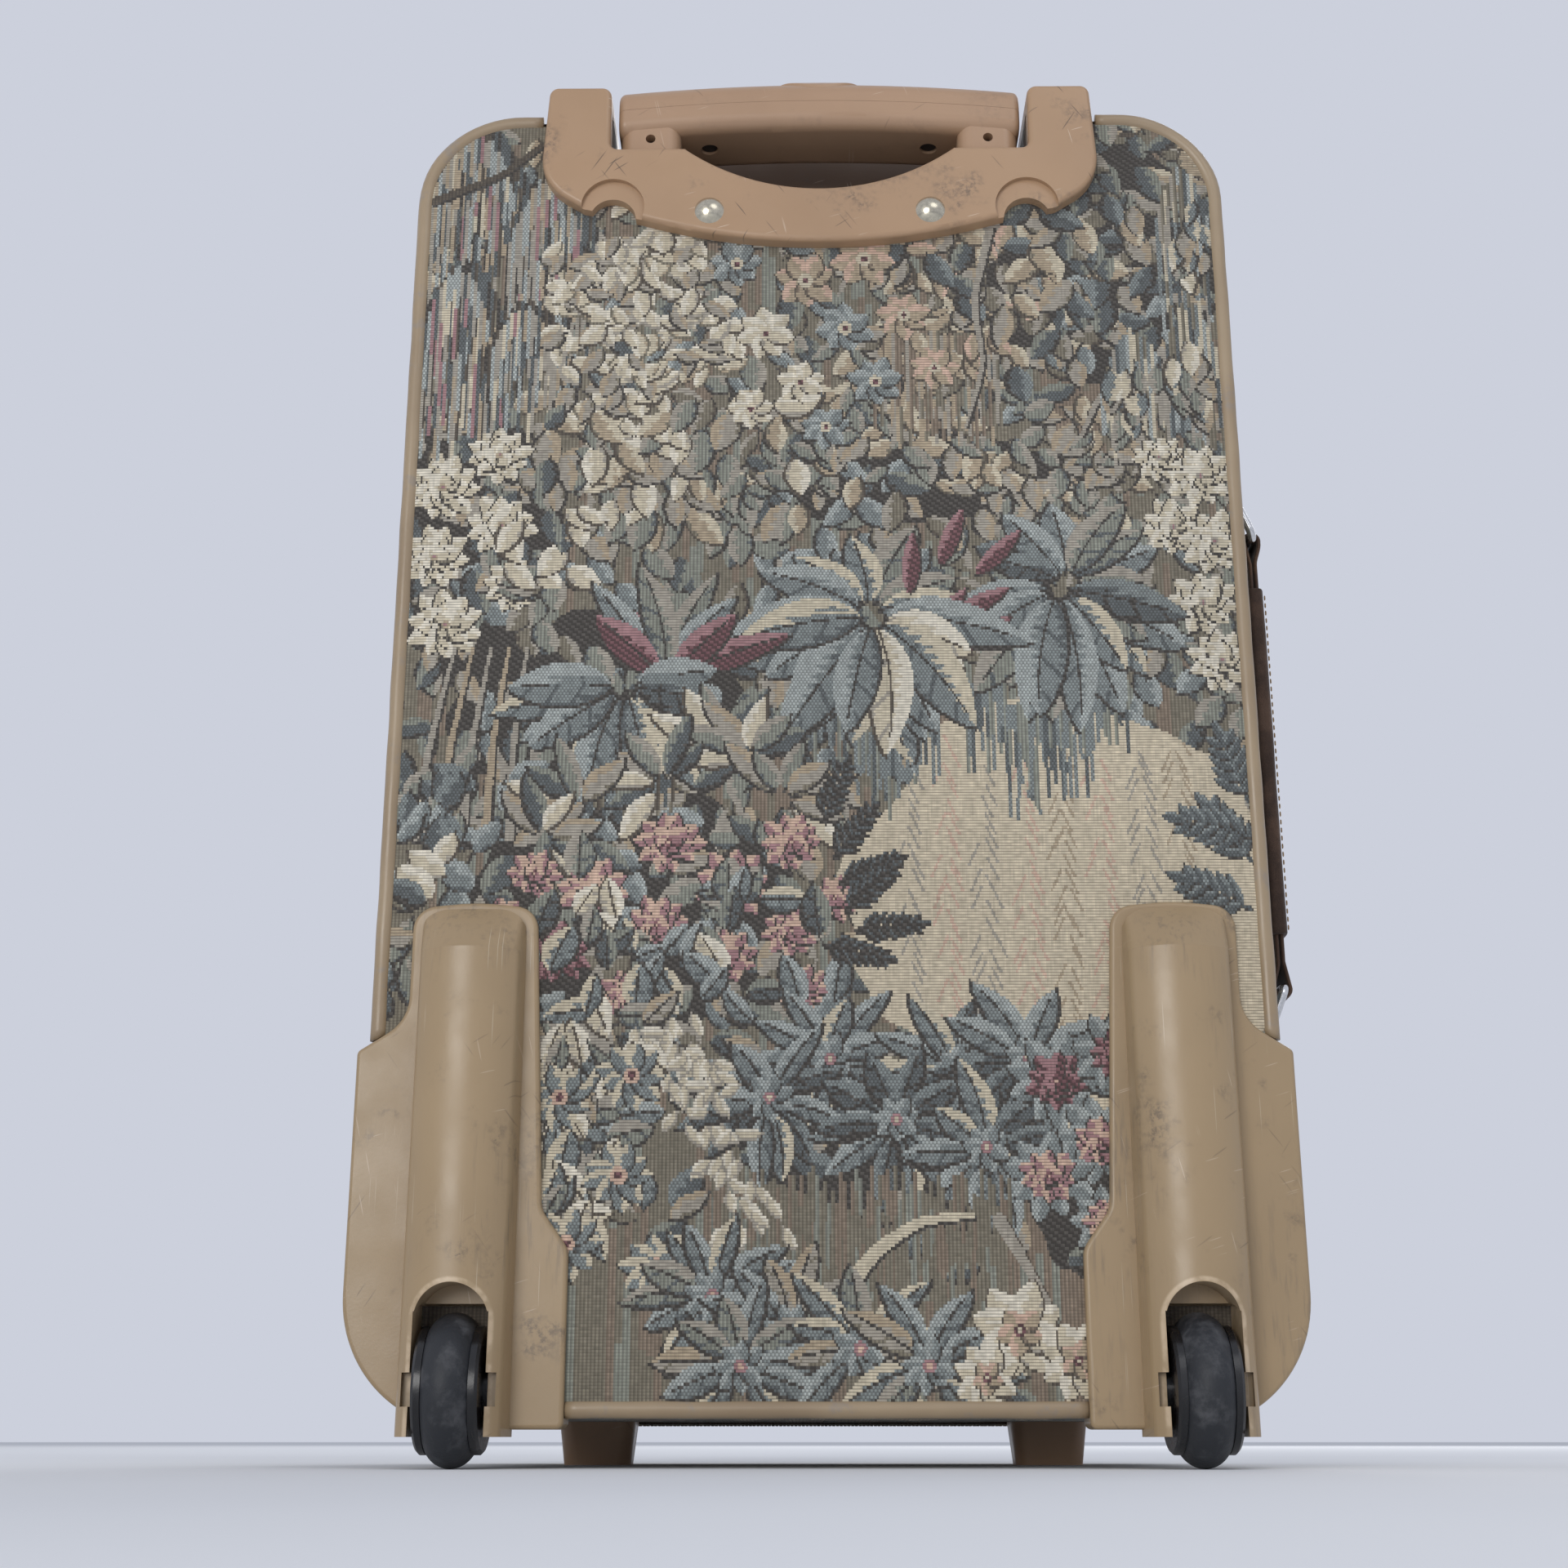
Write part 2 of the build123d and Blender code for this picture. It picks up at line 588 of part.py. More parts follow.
def tube_guides():
    """Sliding guides in the lower ends of the inner tubes, bored for the lock pins and rods."""
    guide = tube_post(OUTER_TUBE_BORE - CLEARANCE, GUIDE_BOTTOM, GUIDE_TOP)
    guide += tube_post(INNER_TUBE_BORE - RUNNING_FIT, GUIDE_TOP, GUIDE_TOP + GUIDE_PLUG_LENGTH)
    chamber_start = (TUBE_X - LOCK_CHAMBER, TUBE_Y, LOCK_PIN_Z)
    chamber_end = (TUBE_X + OVERRUN, TUBE_Y, LOCK_PIN_Z)
    guide -= rod(LOCK_PIN_RADIUS + RUNNING_FIT, chamber_start, chamber_end)
    top = GUIDE_TOP + GUIDE_PLUG_LENGTH
    guide -= rod(ROD_RADIUS + CLEARANCE, (ROD_X, TUBE_Y, LOCK_PIN_Z), (ROD_X, TUBE_Y, top))
    return both_sides(guide)


def lock_pin():
    """Right lock pin, which springs out of the guide into the outer tube's hole."""
    start = (TUBE_X - LOCK_PIN_INNER, TUBE_Y, LOCK_PIN_Z)
    end = (TUBE_X + OUTER_TUBE_BORE - CLEARANCE, TUBE_Y, LOCK_PIN_Z)
    return rod(LOCK_PIN_RADIUS, start, end)


def crown_drum(radius):
    """Long drum about the axis that the grip's crown is struck from."""
    return rod(radius, (0, -2 * OVERRUN, CROWN_AXIS_Z), (0, 2 * OVERRUN, CROWN_AXIS_Z))


def grip_form():
    """Whole outside of the grip: a rounded section carried along the crown."""
    section = Pos(TUBE_Y, GRIP_TOP - GRIP_HEIGHT / 2) * Rectangle(GRIP_DEPTH, GRIP_HEIGHT)
    rows = section.vertices().group_by(Axis.Y)
    section = fillet(rows[-1], GRIP_SHOULDER)
    section = fillet(section.vertices().group_by(Axis.Y)[0], GRIP_KEEL)
    axis = Axis((0, 0, CROWN_AXIS_Z), (0, 1, 0))
    half_turn = math.degrees((GRIP_HALF + GRIP_HEIGHT) / CROWN_RADIUS)
    start = (Plane.YZ * section).rotate(axis, -half_turn)
    form = revolve(start, axis=axis, revolution_arc=2 * half_turn)
    form &= block((-GRIP_HALF, GRIP_HALF), (-OVERRUN, 2 * OVERRUN), (0, GRIP_TOP + OVERRUN))
    groups = form.edges().group_by(Axis.X)
    return fillet(groups[0] + groups[-1], GRIP_END_RADIUS)


def button_plan(gap):
    """Oval plan of the push button, grown by a gap."""
    return Pos(0, TUBE_Y) * Ellipse(BUTTON_HALF_LENGTH + gap, BUTTON_HALF_DEPTH + gap)


def grip_hollow():
    """Room inside the grip for the yoke, the spring and the button's travel."""
    half = TUBE_X + YOKE_OVERHANG + CLEARANCE
    deep = YOKE_DEPTH / 2 + CLEARANCE
    low = YOKE_BOTTOM - BUTTON_TRAVEL - CLEARANCE
    high = YOKE_TOP + CLEARANCE
    hollow = block((-half, half), (TUBE_Y - deep, TUBE_Y + deep), (low, high))
    eye = SCREW_SHANK_RADIUS + CLEARANCE + YOKE_EYE_WALL + CLEARANCE
    hollow += both_sides(rod(eye, (SCREW_X, TUBE_Y, low), (SCREW_X, TUBE_Y, high)))
    spring = SPRING_RADIUS + SPRING_WIRE
    hollow += rod(spring, (0, TUBE_Y, YOKE_BOTTOM - SPRING_HEIGHT), (0, TUBE_Y, high))
    button_low = YOKE_TOP - BUTTON_TRAVEL - CLEARANCE
    return hollow + post(button_plan(CLEARANCE), button_low, GRIP_TOP + OVERRUN)


def screw_seat():
    """Depth at which the right grip screw's head seats in the underside."""
    sag = SCREW_X**2 / (2 * CROWN_RADIUS)
    return GRIP_TOP - GRIP_HEIGHT - sag + SCREW_RECESS_DEPTH


def screw_column(radius, bottom, top):
    """Upright round bar on the right grip screw's axis."""
    return rod(radius, (SCREW_X, TUBE_Y, bottom), (SCREW_X, TUBE_Y, top))


def grip_lower():
    """Lower half of the grip, with the two tube sleeves."""
    lower = grip_form() & crown_drum(CROWN_RADIUS - GRIP_SPLIT_DROP)
    plan = Pos(TUBE_X, TUBE_Y) * RectangleRounded(SLEEVE_WIDTH, SLEEVE_DEPTH, SLEEVE_RADIUS)
    lower += both_sides(post(plan, SLEEVE_BOTTOM, INNER_TUBE_TOP))
    tube = tube_post(INNER_TUBE_RADIUS + RUNNING_FIT, 0, INNER_TUBE_TOP + SEAT)
    recess = screw_column(SCREW_RECESS_RADIUS, SLEEVE_BOTTOM, screw_seat())
    shank = screw_column(SCREW_SHANK_RADIUS + RUNNING_FIT, SLEEVE_BOTTOM, GRIP_TOP)
    pin = roll_pin(RUNNING_FIT, 2 * OVERRUN)
    return lower - grip_hollow() - both_sides(tube + pin + recess + shank)


def grip_upper():
    """Upper half of the grip, with the oval hole for the button."""
    upper = grip_form() - crown_drum(CROWN_RADIUS - GRIP_SPLIT_DROP + GRIP_SPLIT_GAP)
    shank = screw_column(SCREW_SHANK_RADIUS + RUNNING_FIT, 0, YOKE_TOP + SCREW_BITE)
    return upper - grip_hollow() - both_sides(shank)


def grip_screws():
    """Screws that hold the grip's halves together from below."""
    seat = screw_seat()
    screw = screw_column(SCREW_HEAD_RADIUS, seat - SCREW_HEAD_HEIGHT, seat)
    return both_sides(screw + screw_column(SCREW_SHANK_RADIUS, seat, YOKE_TOP + SCREW_BITE - SEAT))


def release_button():
    """Oval push button, crowned like the grip and standing a little proud of it."""
    form = Pos(0, 0, BUTTON_PROUD) * grip_form()
    return form & post(button_plan(0), YOKE_TOP, GRIP_TOP + OVERRUN)


def release_yoke():
    """Cross bar under the button, with eyes that clear the grip screws."""
    half = TUBE_X + YOKE_OVERHANG
    deep = YOKE_DEPTH / 2
    yoke = block((-half, half), (TUBE_Y - deep, TUBE_Y + deep), (YOKE_BOTTOM, YOKE_TOP))
    eye = SCREW_SHANK_RADIUS + CLEARANCE
    yoke += both_sides(screw_column(eye + YOKE_EYE_WALL, YOKE_BOTTOM, YOKE_TOP))
    return yoke - both_sides(screw_column(eye, YOKE_BOTTOM, YOKE_TOP))


def release_rod():
    """Right release rod, from the yoke down the tube to just above the lock pin."""
    foot = LOCK_PIN_Z + LOCK_PIN_RADIUS + BUTTON_TRAVEL + LOCK_ROD_GAP
    return rod(ROD_RADIUS, (ROD_X, TUBE_Y, foot), (ROD_X, TUBE_Y, YOKE_BOTTOM))


def button_spring():
    """Coil spring that lifts the yoke and the button."""
    rise = SPRING_HEIGHT - 2 * SPRING_WIRE
    low = YOKE_BOTTOM - SPRING_HEIGHT + SPRING_WIRE
    coil = Helix(rise / SPRING_TURNS, rise, SPRING_RADIUS, center=(0, TUBE_Y, low))
    start = Plane(origin=coil @ 0, z_dir=coil % 0)
    return sweep(start * Circle(SPRING_WIRE / 2), path=coil, is_frenet=True)


HUB_HALF = ARCH_HALF - CLEARANCE
DISC_INNER = TYRE_WIDTH / 2 + RUNNING_FIT
DISC_OUTER = DISC_INNER + DISC_THICKNESS
BUSH_RADIUS = AXLE_RADIUS + RUNNING_FIT + BUSH_WALL
WHEEL_CENTRE = (WHEEL_X, WHEEL_Y, WHEEL_RADIUS)


def turned(profile):
    """Turn a profile of axial and radial sizes about the right wheel's axle."""
    return Pos(*WHEEL_CENTRE) * revolve(profile, axis=Axis.X)


def tyre():
    """Solid rubber tyre with a rounded tread."""
    half = TYRE_WIDTH / 2
    tread = ThreePointArc((half, TYRE_SHOULDER_RADIUS), (0, WHEEL_RADIUS), (-half, TYRE_SHOULDER_RADIUS))
    sides = Polyline(
        (-half, TYRE_SHOULDER_RADIUS),
        (-half, TYRE_BEAD_RADIUS),
        (half, TYRE_BEAD_RADIUS),
        (half, TYRE_SHOULDER_RADIUS),
    )
    return turned(make_face([tread, sides]))


def wheel_hub():
    """Hub with a side disc at each flank of the tyre and bosses out to the fork."""
    rim = TYRE_BEAD_RADIUS - RUNNING_FIT
    bore = BUSH_RADIUS + RUNNING_FIT
    flank = [
        (DISC_INNER, rim),
        (DISC_INNER, DISC_RADIUS),
        (DISC_OUTER - DISC_BEVEL, DISC_RADIUS),
        (DISC_OUTER, DISC_RADIUS - DISC_BEVEL),
        (DISC_OUTER, HUB_BOSS_RADIUS),
        (HUB_HALF, HUB_BOSS_RADIUS),
        (HUB_HALF, bore),
    ]
    other = [(-axial, radial) for axial, radial in reversed(flank)]
    return turned(make_face(Polyline(*flank, *other, close=True)))


def wheel_bush():
    """Plain bush between the hub and the axle."""
    bore = AXLE_RADIUS + RUNNING_FIT
    middle = (bore + BUSH_RADIUS) / 2
    return turned(Pos(0, middle) * Rectangle(2 * HUB_HALF, BUSH_RADIUS - bore))


def wheel_axle():
    """Steel axle, held in the housing's fork cheeks."""
    reach = ARCH_HALF + AXLE_SEAT
    start = (WHEEL_X - reach, WHEEL_Y, WHEEL_RADIUS)
    return rod(AXLE_RADIUS, start, (WHEEL_X + reach, WHEEL_Y, WHEEL_RADIUS))


def flange_outline():
    """Stepped outline of the right housing's flange round the lower corner of the case."""
    bottom = CASE_FLOOR - HOUSING_LIFT
    side = CASE_HALF + HOUSING_LIFT
    outline = FilletPolyline(
        (FLANGE_FOOT_X, bottom),
        (FLANGE_FOOT_X, FLANGE_FOOT_Z),
        (FLANGE_WAIST, FLANGE_WAIST_Z),
        (FLANGE_TOP_INNER, FLANGE_TOP),
        (WHEEL_X, FLANGE_TOP + FLANGE_CROWN),
        (FLANGE_TOP_OUTER, FLANGE_TOP),
        (FLANGE_TOP_OUTER, FLANGE_STEP_TOP),
        (side, FLANGE_STEP_FOOT),
        (side, bottom),
        radius=[
            FLANGE_STEP_NOSE,
            FLANGE_BLEND,
            FLANGE_BLEND,
            FLANGE_TOP_RADIUS,
            FLANGE_CROWN_RADIUS,
            FLANGE_TOP_RADIUS,
            FLANGE_STEP_RADIUS,
            FLANGE_STEP_NOSE,
            CORNER_RADIUS + HOUSING_LIFT,
        ],
        close=True,
    )
    return make_face(outline)


def spine_section(height, crown, shoulder, side_radius):
    """Crowned section of the right housing's spine at one height."""
    left = WHEEL_X - SPINE_HALF
    right = WHEEL_X + SPINE_HALF
    left_shoulder = (left + SPINE_SHOULDER_INSET, -shoulder)
    right_shoulder = (right - SPINE_SHOULDER_INSET, -shoulder)
    edges = [
        Polyline(left_shoulder, (left, 0), (right, 0), right_shoulder),
        ThreePointArc(right_shoulder, (WHEEL_X, -crown), left_shoulder),
    ]
    face = make_face(edges)
    face = fillet(face.vertices().sort_by(Axis.Y)[:2], side_radius)
    return Plane.XY.offset(height) * face


def spine():
    """Raised spine over the wheel, with a crowned nose that leaves a curved crease."""
    body = loft([
        spine_section(SPINE_BOTTOM, SPINE_FOOT_CROWN, SPINE_FOOT_SHOULDER, SPINE_SIDE_RADIUS),
        spine_section(FLANGE_TOP, SPINE_HEAD_CROWN, SPINE_HEAD_SHOULDER, SPINE_SIDE_RADIUS),
    ])
    nose = loft([
        spine_section(NOSE_LOW, NOSE_LOW_CROWN, NOSE_LOW_SHOULDER, SPINE_SIDE_RADIUS),
        spine_section(NOSE_BROW, NOSE_BROW_CROWN, NOSE_BROW_SHOULDER, SPINE_SIDE_RADIUS),
        spine_section(SPINE_TOP, NOSE_TIP_CROWN, NOSE_TIP_SHOULDER, NOSE_TIP_RADIUS),
    ])
    far = -SPINE_FOOT_CROWN - OVERRUN
    below = block((0, CASE_WIDTH), (far, 0), (0, NOSE_LOW))
    plan = Pos(WHEEL_X, SPINE_TOP / 2) * Rectangle(2 * SPINE_HALF, SPINE_TOP)
    plan = fillet(plan.vertices().group_by(Axis.Y)[-1], SPINE_CORNER)
    return body & (nose + below) & slab(plan, far, 0)


def arch_outline():
    """Round-topped wheel arch in the spine."""
    spring_line = ARCH_TOP - ARCH_HALF
    left = WHEEL_X - ARCH_HALF
    right = WHEEL_X + ARCH_HALF
    legs = Polyline((left, spring_line), (left, -OVERRUN), (right, -OVERRUN), (right, spring_line))
    return make_face([legs, CenterArc((WHEEL_X, spring_line), ARCH_HALF, 0, 180)])


def wheel_housing():
    """Right wheel housing: corner flange, spine, wheel well, arch, notches and axle bore."""
    flange = slab(flange_outline(), -HOUSING_LIFT, HOUSING_WRAP)
    flange = fillet(flange.edges().group_by(Axis.Y)[0], HOUSING_EDGE)
    case_gap = WALL_SETBACK - CLEARANCE
    flange -= slab(case_outline(case_gap), 0, WALL_REAR)
    flange -= bowed_body(case_gap)
    bottom = CASE_FLOOR - HOUSING_LIFT
    inside = block((0, CASE_WIDTH), (-HOUSING_LIFT, 2 * OVERRUN), (bottom, CASE_MID))
    shell = flange + spine() + (well_space(WELL_WALL) & inside)
    shell -= well_space(0)
    far = -SPINE_FOOT_CROWN - OVERRUN
    shell -= slab(arch_outline(), far, WHEEL_Y)
    notch_half = ARCH_HALF + NOTCH_DEPTH
    notch_x = (WHEEL_X - notch_half, WHEEL_X + notch_half)
    shell -= block(notch_x, (far, -NOTCH_FLOOR), (NOTCH_LOW, NOTCH_HIGH))
    reach = ARCH_HALF + AXLE_SEAT + SEAT
    start = (WHEEL_X - reach, WHEEL_Y, WHEEL_RADIUS)
    end = (WHEEL_X + reach, WHEEL_Y, WHEEL_RADIUS)
    return shell - rod(AXLE_RADIUS + RUNNING_FIT, start, end)


def foot_post(radius, bottom, top):
    """Upright round bar on the right foot's screw axis."""
    return rod(radius, (FOOT_X, FOOT_Y, bottom), (FOOT_X, FOOT_Y, top))


def foot():
    """Right moulded foot, tapered to its toe, with a screw recess."""
    top = CASE_FLOOR + WALL_SETBACK - SEAT
    place = Pos(FOOT_X, FOOT_Y)
    toe = place * RectangleRounded(FOOT_TOE_WIDTH, FOOT_TOE_DEPTH, FOOT_CORNER)
    seat = place * RectangleRounded(FOOT_TOP_WIDTH, FOOT_TOP_DEPTH, FOOT_CORNER)
    body = loft([Plane.XY * toe, Plane.XY.offset(top) * seat])
    body -= foot_post(FOOT_SCREW_RADIUS + CLEARANCE, 0, FOOT_SCREW_RECESS)
    return body - foot_post(FOOT_SCREW_SHANK + SEAT, 0, top)


def foot_screws():
    """Screws that hold the feet to the case floor."""
    low = FOOT_SCREW_RECESS - FOOT_SCREW_HEAD
    top = CASE_FLOOR + WALL_SETBACK + WALL
    screw = foot_post(FOOT_SCREW_RADIUS, low, FOOT_SCREW_RECESS)
    return both_sides(screw + foot_post(FOOT_SCREW_SHANK, FOOT_SCREW_RECESS, top))


STRAP_MID_X = STRAP_INNER + STRAP_THICKNESS / 2
RING_MID_X = WALL_FACE + RING_STAND
TAB_OUTER = WALL_FACE + TAB_STAND
RING_Z = CARRY_SPAN / 2
ANCHOR_Z = RING_Z + RING_REACH
LOOP_BORE = RING_WIRE_RADIUS + CLEARANCE


def two_ends(piece):
    """The piece at the carry handle's upper end and its mirror image at the lower end."""
    return piece + mirror(piece, about=Plane.XY.offset(CASE_MID))


def carry_strap():
    """Leather strap whose ends fold back round the rings."""
    width = (CARRY_Y - STRAP_WIDTH / 2, CARRY_Y + STRAP_WIDTH / 2)
    span = CARRY_SPAN - LOOP_LENGTH
    outline = Pos(STRAP_MID_X, CASE_MID) * Rectangle(STRAP_THICKNESS, span)
    loop_rise = RING_Z - LOOP_LENGTH / 2
    ends = [Pos(STRAP_MID_X, CASE_MID + rise) for rise in (-loop_rise, loop_rise)]
    for end in ends:
        outline += end * SlotCenterToCenter(LOOP_LENGTH, 2 * (LOOP_BORE + LOOP_WALL), 90)
    for end in ends:
        outline -= end * SlotCenterToCenter(LOOP_LENGTH, 2 * LOOP_BORE, 90)
    return slab(outline, *width)


def carry_sleeve():
    """Padded sleeve wrapped round the middle of the strap."""
    place = Pos(STRAP_MID_X, CARRY_Y)
    thick = STRAP_THICKNESS + 2 * SLEEVE_SKIN
    wide = STRAP_WIDTH + 2 * SLEEVE_SKIN
    outer = place * RectangleRounded(thick, wide, SLEEVE_EDGE)
    inner = place * Rectangle(STRAP_THICKNESS + 2 * SEAT, STRAP_WIDTH + 2 * SEAT)
    return post(outer - inner, CASE_MID - SLEEVE_SPAN / 2, CASE_MID + SLEEVE_SPAN / 2)


def carry_rings():
    """Wire rings between the tabs and the strap."""
    strap_bar = Vector(STRAP_MID_X, CARRY_Y, CASE_MID + RING_Z)
    anchor_bar = Vector(RING_MID_X, CARRY_Y, CASE_MID + ANCHOR_Z)
    across = Vector(0, 1, 0)
    along = anchor_bar - strap_bar
    flat = Plane(origin=(strap_bar + anchor_bar) / 2, x_dir=across, z_dir=across.cross(along))
    path = (flat * RectangleRounded(RING_LENGTH, along.length, RING_CORNER)).wire()
    start = Plane(origin=path @ 0, z_dir=path % 0)
    return two_ends(sweep(start * Circle(RING_WIRE_RADIUS), path=path))


def tab_rivet_heights():
    """Heights of the two rivets in the upper tab."""
    first = CASE_MID + ANCHOR_Z + TAB_RIVET_INSET
    return (first, first + TAB_RIVET_PITCH)


def tab_rivet_holes():
    """Rivet holes through the tabs and the case wall."""
    radius = TAB_RIVET_SHANK + SEAT
    inner = WALL_FACE - OVERRUN
    outer = TAB_OUTER + OVERRUN
    low, high = [rod(radius, (inner, CARRY_Y, z), (outer, CARRY_Y, z)) for z in tab_rivet_heights()]
    return two_ends(low + high)


def carry_tabs():
    """Leather tabs on the case wall, each with an eye for its ring."""
    width = (CARRY_Y - TAB_WIDTH / 2, CARRY_Y + TAB_WIDTH / 2)
    eye_z = CASE_MID + ANCHOR_Z
    plate = block((WALL_FACE - WALL, TAB_OUTER), width, (eye_z, eye_z + TAB_LENGTH))
    eye_radius = LOOP_BORE + TAB_EYE_WALL
    plate += rod(eye_radius, (RING_MID_X, width[0], eye_z), (RING_MID_X, width[1], eye_z))
    plate -= bowed_body(WALL_SETBACK - SEAT)
    plate -= rod(LOOP_BORE, (RING_MID_X, 0, eye_z), (RING_MID_X, BODY_DEPTH, eye_z))
    return two_ends(plate) - tab_rivet_holes()


def carry_rivets():
    """Domed rivets through the tabs and the case wall."""
    inner = WALL_FACE - WALL
    pieces = []
    for height in tab_rivet_heights():
        shank = rod(TAB_RIVET_SHANK, (inner, CARRY_Y, height), (TAB_OUTER, CARRY_Y, height))
        face = Plane(origin=(TAB_OUTER, CARRY_Y, height), z_dir=(1, 0, 0))
        pieces.append(shank + face * domed_head(TAB_RIVET_RADIUS, TAB_RIVET_RISE))
    return two_ends(pieces[0] + pieces[1])


def zip_tape(rear, front):
    """Zip tape sewn round the outside of the case or the lid."""
    inner = WALL_SETBACK - SEAT
    outer = slab(case_outline(inner - ZIP_TAPE_THICKNESS), rear, front)
    return outer - slab(case_outline(inner), rear, front)


def lid_wall():
    """Shallow stiffened wall of the lid."""
    outer = slab(case_outline(WALL_SETBACK), SEAM_FRONT, LID_WALL_FRONT)
    return outer - slab(case_outline(WALL_SETBACK + WALL), SEAM_FRONT, LID_WALL_FRONT)


def front_panel():
    """Cloth-covered front of the lid, between the piping."""
    return slab(case_outline(PIPING_DIAMETER + SEAT), LID_FRONT - WALL, LID_FRONT)


def pocket_mid():
    """Height of the front pocket's middle."""
    return CASE_FLOOR + POCKET_FOOT + POCKET_HEIGHT / 2


def front_pocket():
    """Padded pocket on the front of the lid."""
    outline = Pos(0, pocket_mid()) * RectangleRounded(POCKET_WIDTH, POCKET_HEIGHT, POCKET_RADIUS)
    body = slab(outline, LID_FRONT + SEAT, POCKET_FRONT)
    return fillet(body.edges().group_by(Axis.Y)[-1], POCKET_EDGE)


def pocket_zip_z():
    """Height of the pocket's zip."""
    return pocket_mid() + POCKET_HEIGHT / 2 - POCKET_ZIP_DROP


def pocket_zip_tape():
    """Straight zip across the front pocket."""
    outline = Pos(0, pocket_zip_z()) * Rectangle(POCKET_ZIP_LENGTH, POCKET_ZIP_WIDTH)
    return slab(outline, POCKET_FRONT + SEAT, POCKET_FRONT + SEAT + ZIP_TAPE_THICKNESS)


PULL_AXIS_HEIGHT = SLIDER_HEIGHT + CLEARANCE + PULL_PIN_RADIUS
BAIL_TOP = PULL_AXIS_HEIGHT + PULL_PIN_RADIUS + CLEARANCE


def zip_slider():
    """Slider on a track along z that faces +X, with a bail over the pull's pin."""
    plan = RectangleRounded(SLIDER_WIDTH, SLIDER_LENGTH, SLIDER_CORNER)
    body = extrude(Plane.YZ * plan, amount=SLIDER_HEIGHT)
    bail_y = (-BAIL_WIDTH / 2, BAIL_WIDTH / 2)
    bail = block((SLIDER_HEIGHT, BAIL_TOP + BAIL_WALL), bail_y, (-BAIL_HALF, BAIL_HALF))
    inner = BAIL_HALF - BAIL_WALL
    return body + bail - block((SLIDER_HEIGHT, BAIL_TOP), (-OVERRUN, OVERRUN), (-inner, inner))


def zip_pull():
    """Pull that hangs from the bail by its cross pin."""
    half = PULL_WIDTH / 2
    x_range = (PULL_AXIS_HEIGHT - PULL_THICKNESS / 2, PULL_AXIS_HEIGHT + PULL_THICKNESS / 2)
    length = PULL_LENGTH + PULL_FORK
    plan = Pos(0, PULL_PIN_RADIUS - length / 2) * RectangleRounded(PULL_WIDTH, length, PULL_CORNER)
    plate = Pos(x_range[0], 0, 0) * extrude(Plane.YZ * plan, amount=PULL_THICKNESS)
    gap = BAIL_WIDTH / 2 + CLEARANCE
    plate -= block((0, OVERRUN), (-gap, gap), (-PULL_FORK - BAIL_HALF, OVERRUN))
    pin_start = (PULL_AXIS_HEIGHT, -half + PULL_CORNER / 2, 0)
    pin_end = (PULL_AXIS_HEIGHT, half - PULL_CORNER / 2, 0)
    return plate + rod(PULL_PIN_RADIUS, pin_start, pin_end)


def main_zip_place(height):
    """Place of a main slider on the lid seam's free side."""
    return Pos(WALL_FACE + SEAT + ZIP_TAPE_THICKNESS + CLEARANCE, BODY_DEPTH, height)


def pocket_zip_place():
    """Place of the pocket slider, whose track runs along x and faces +Y."""
    front = POCKET_FRONT + SEAT + ZIP_TAPE_THICKNESS + CLEARANCE
    origin = (POCKET_ZIP_LENGTH / 2 - POCKET_SLIDER_INSET, front, pocket_zip_z())
    return Plane(origin=origin, x_dir=(0, 1, 0), z_dir=(1, 0, 0))


def left_and_right(name, piece):
    """Two nodes: the right piece and its mirror image on the left."""
    return {name + "_right": piece, name + "_left": mirror(piece, about=Plane.YZ)}


UPPER_SLIDER_Z = CASE_MID + SLIDER_RISE + SLIDER_SPLIT
LOWER_SLIDER_Z = CASE_MID + SLIDER_RISE

nodes = {
    "back_panel": back_panel(),
    "body_wall": body_wall(),
    "rear_piping": rear_piping(),
    "handle_bezel": handle_bezel(),
    "bezel_rivets": bezel_rivets(),
    "handle_cup": handle_cup(),
    "tube_bushes": tube_bushes(),
    "tube_base": tube_base(),
    "tube_guides": tube_guides(),
    "grip_roll_pins": both_sides(roll_pin(0, ROLL_PIN_LENGTH)),
    "grip_lower": grip_lower(),
    "grip_upper": grip_upper(),
    "grip_screws": grip_screws(),
    "release_button": release_button(),
    "release_yoke": release_yoke(),
    "button_spring": button_spring(),
    "foot_screws": foot_screws(),
    "side_handle_strap": carry_strap(),
    "side_handle_sleeve": carry_sleeve(),
    "side_handle_rings": carry_rings(),
    "side_handle_tabs": carry_tabs(),
    "side_handle_rivets": carry_rivets(),
    "zip_tape_case": zip_tape(BULGE_FRONT, SEAM_REAR),
    "zip_tape_lid": zip_tape(SEAM_FRONT, SEAM_FRONT + ZIP_TAPE_WIDTH),
    "lid_wall": lid_wall(),
    "front_panel": front_panel(),
    "front_piping": piping_ring(LID_FRONT - PIPING_DEPTH),
    "front_pocket": front_pocket(),
    "pocket_zip_tape": pocket_zip_tape(),
    "zip_slider_upper": main_zip_place(UPPER_SLIDER_Z) * zip_slider(),
    "zip_pull_upper": main_zip_place(UPPER_SLIDER_Z) * zip_pull(),
    "zip_slider_lower": main_zip_place(LOWER_SLIDER_Z) * zip_slider(),
    "zip_pull_lower": main_zip_place(LOWER_SLIDER_Z) * zip_pull(),
    "pocket_slider": pocket_zip_place() * zip_slider(),
    "pocket_pull": pocket_zip_place() * zip_pull(),
}
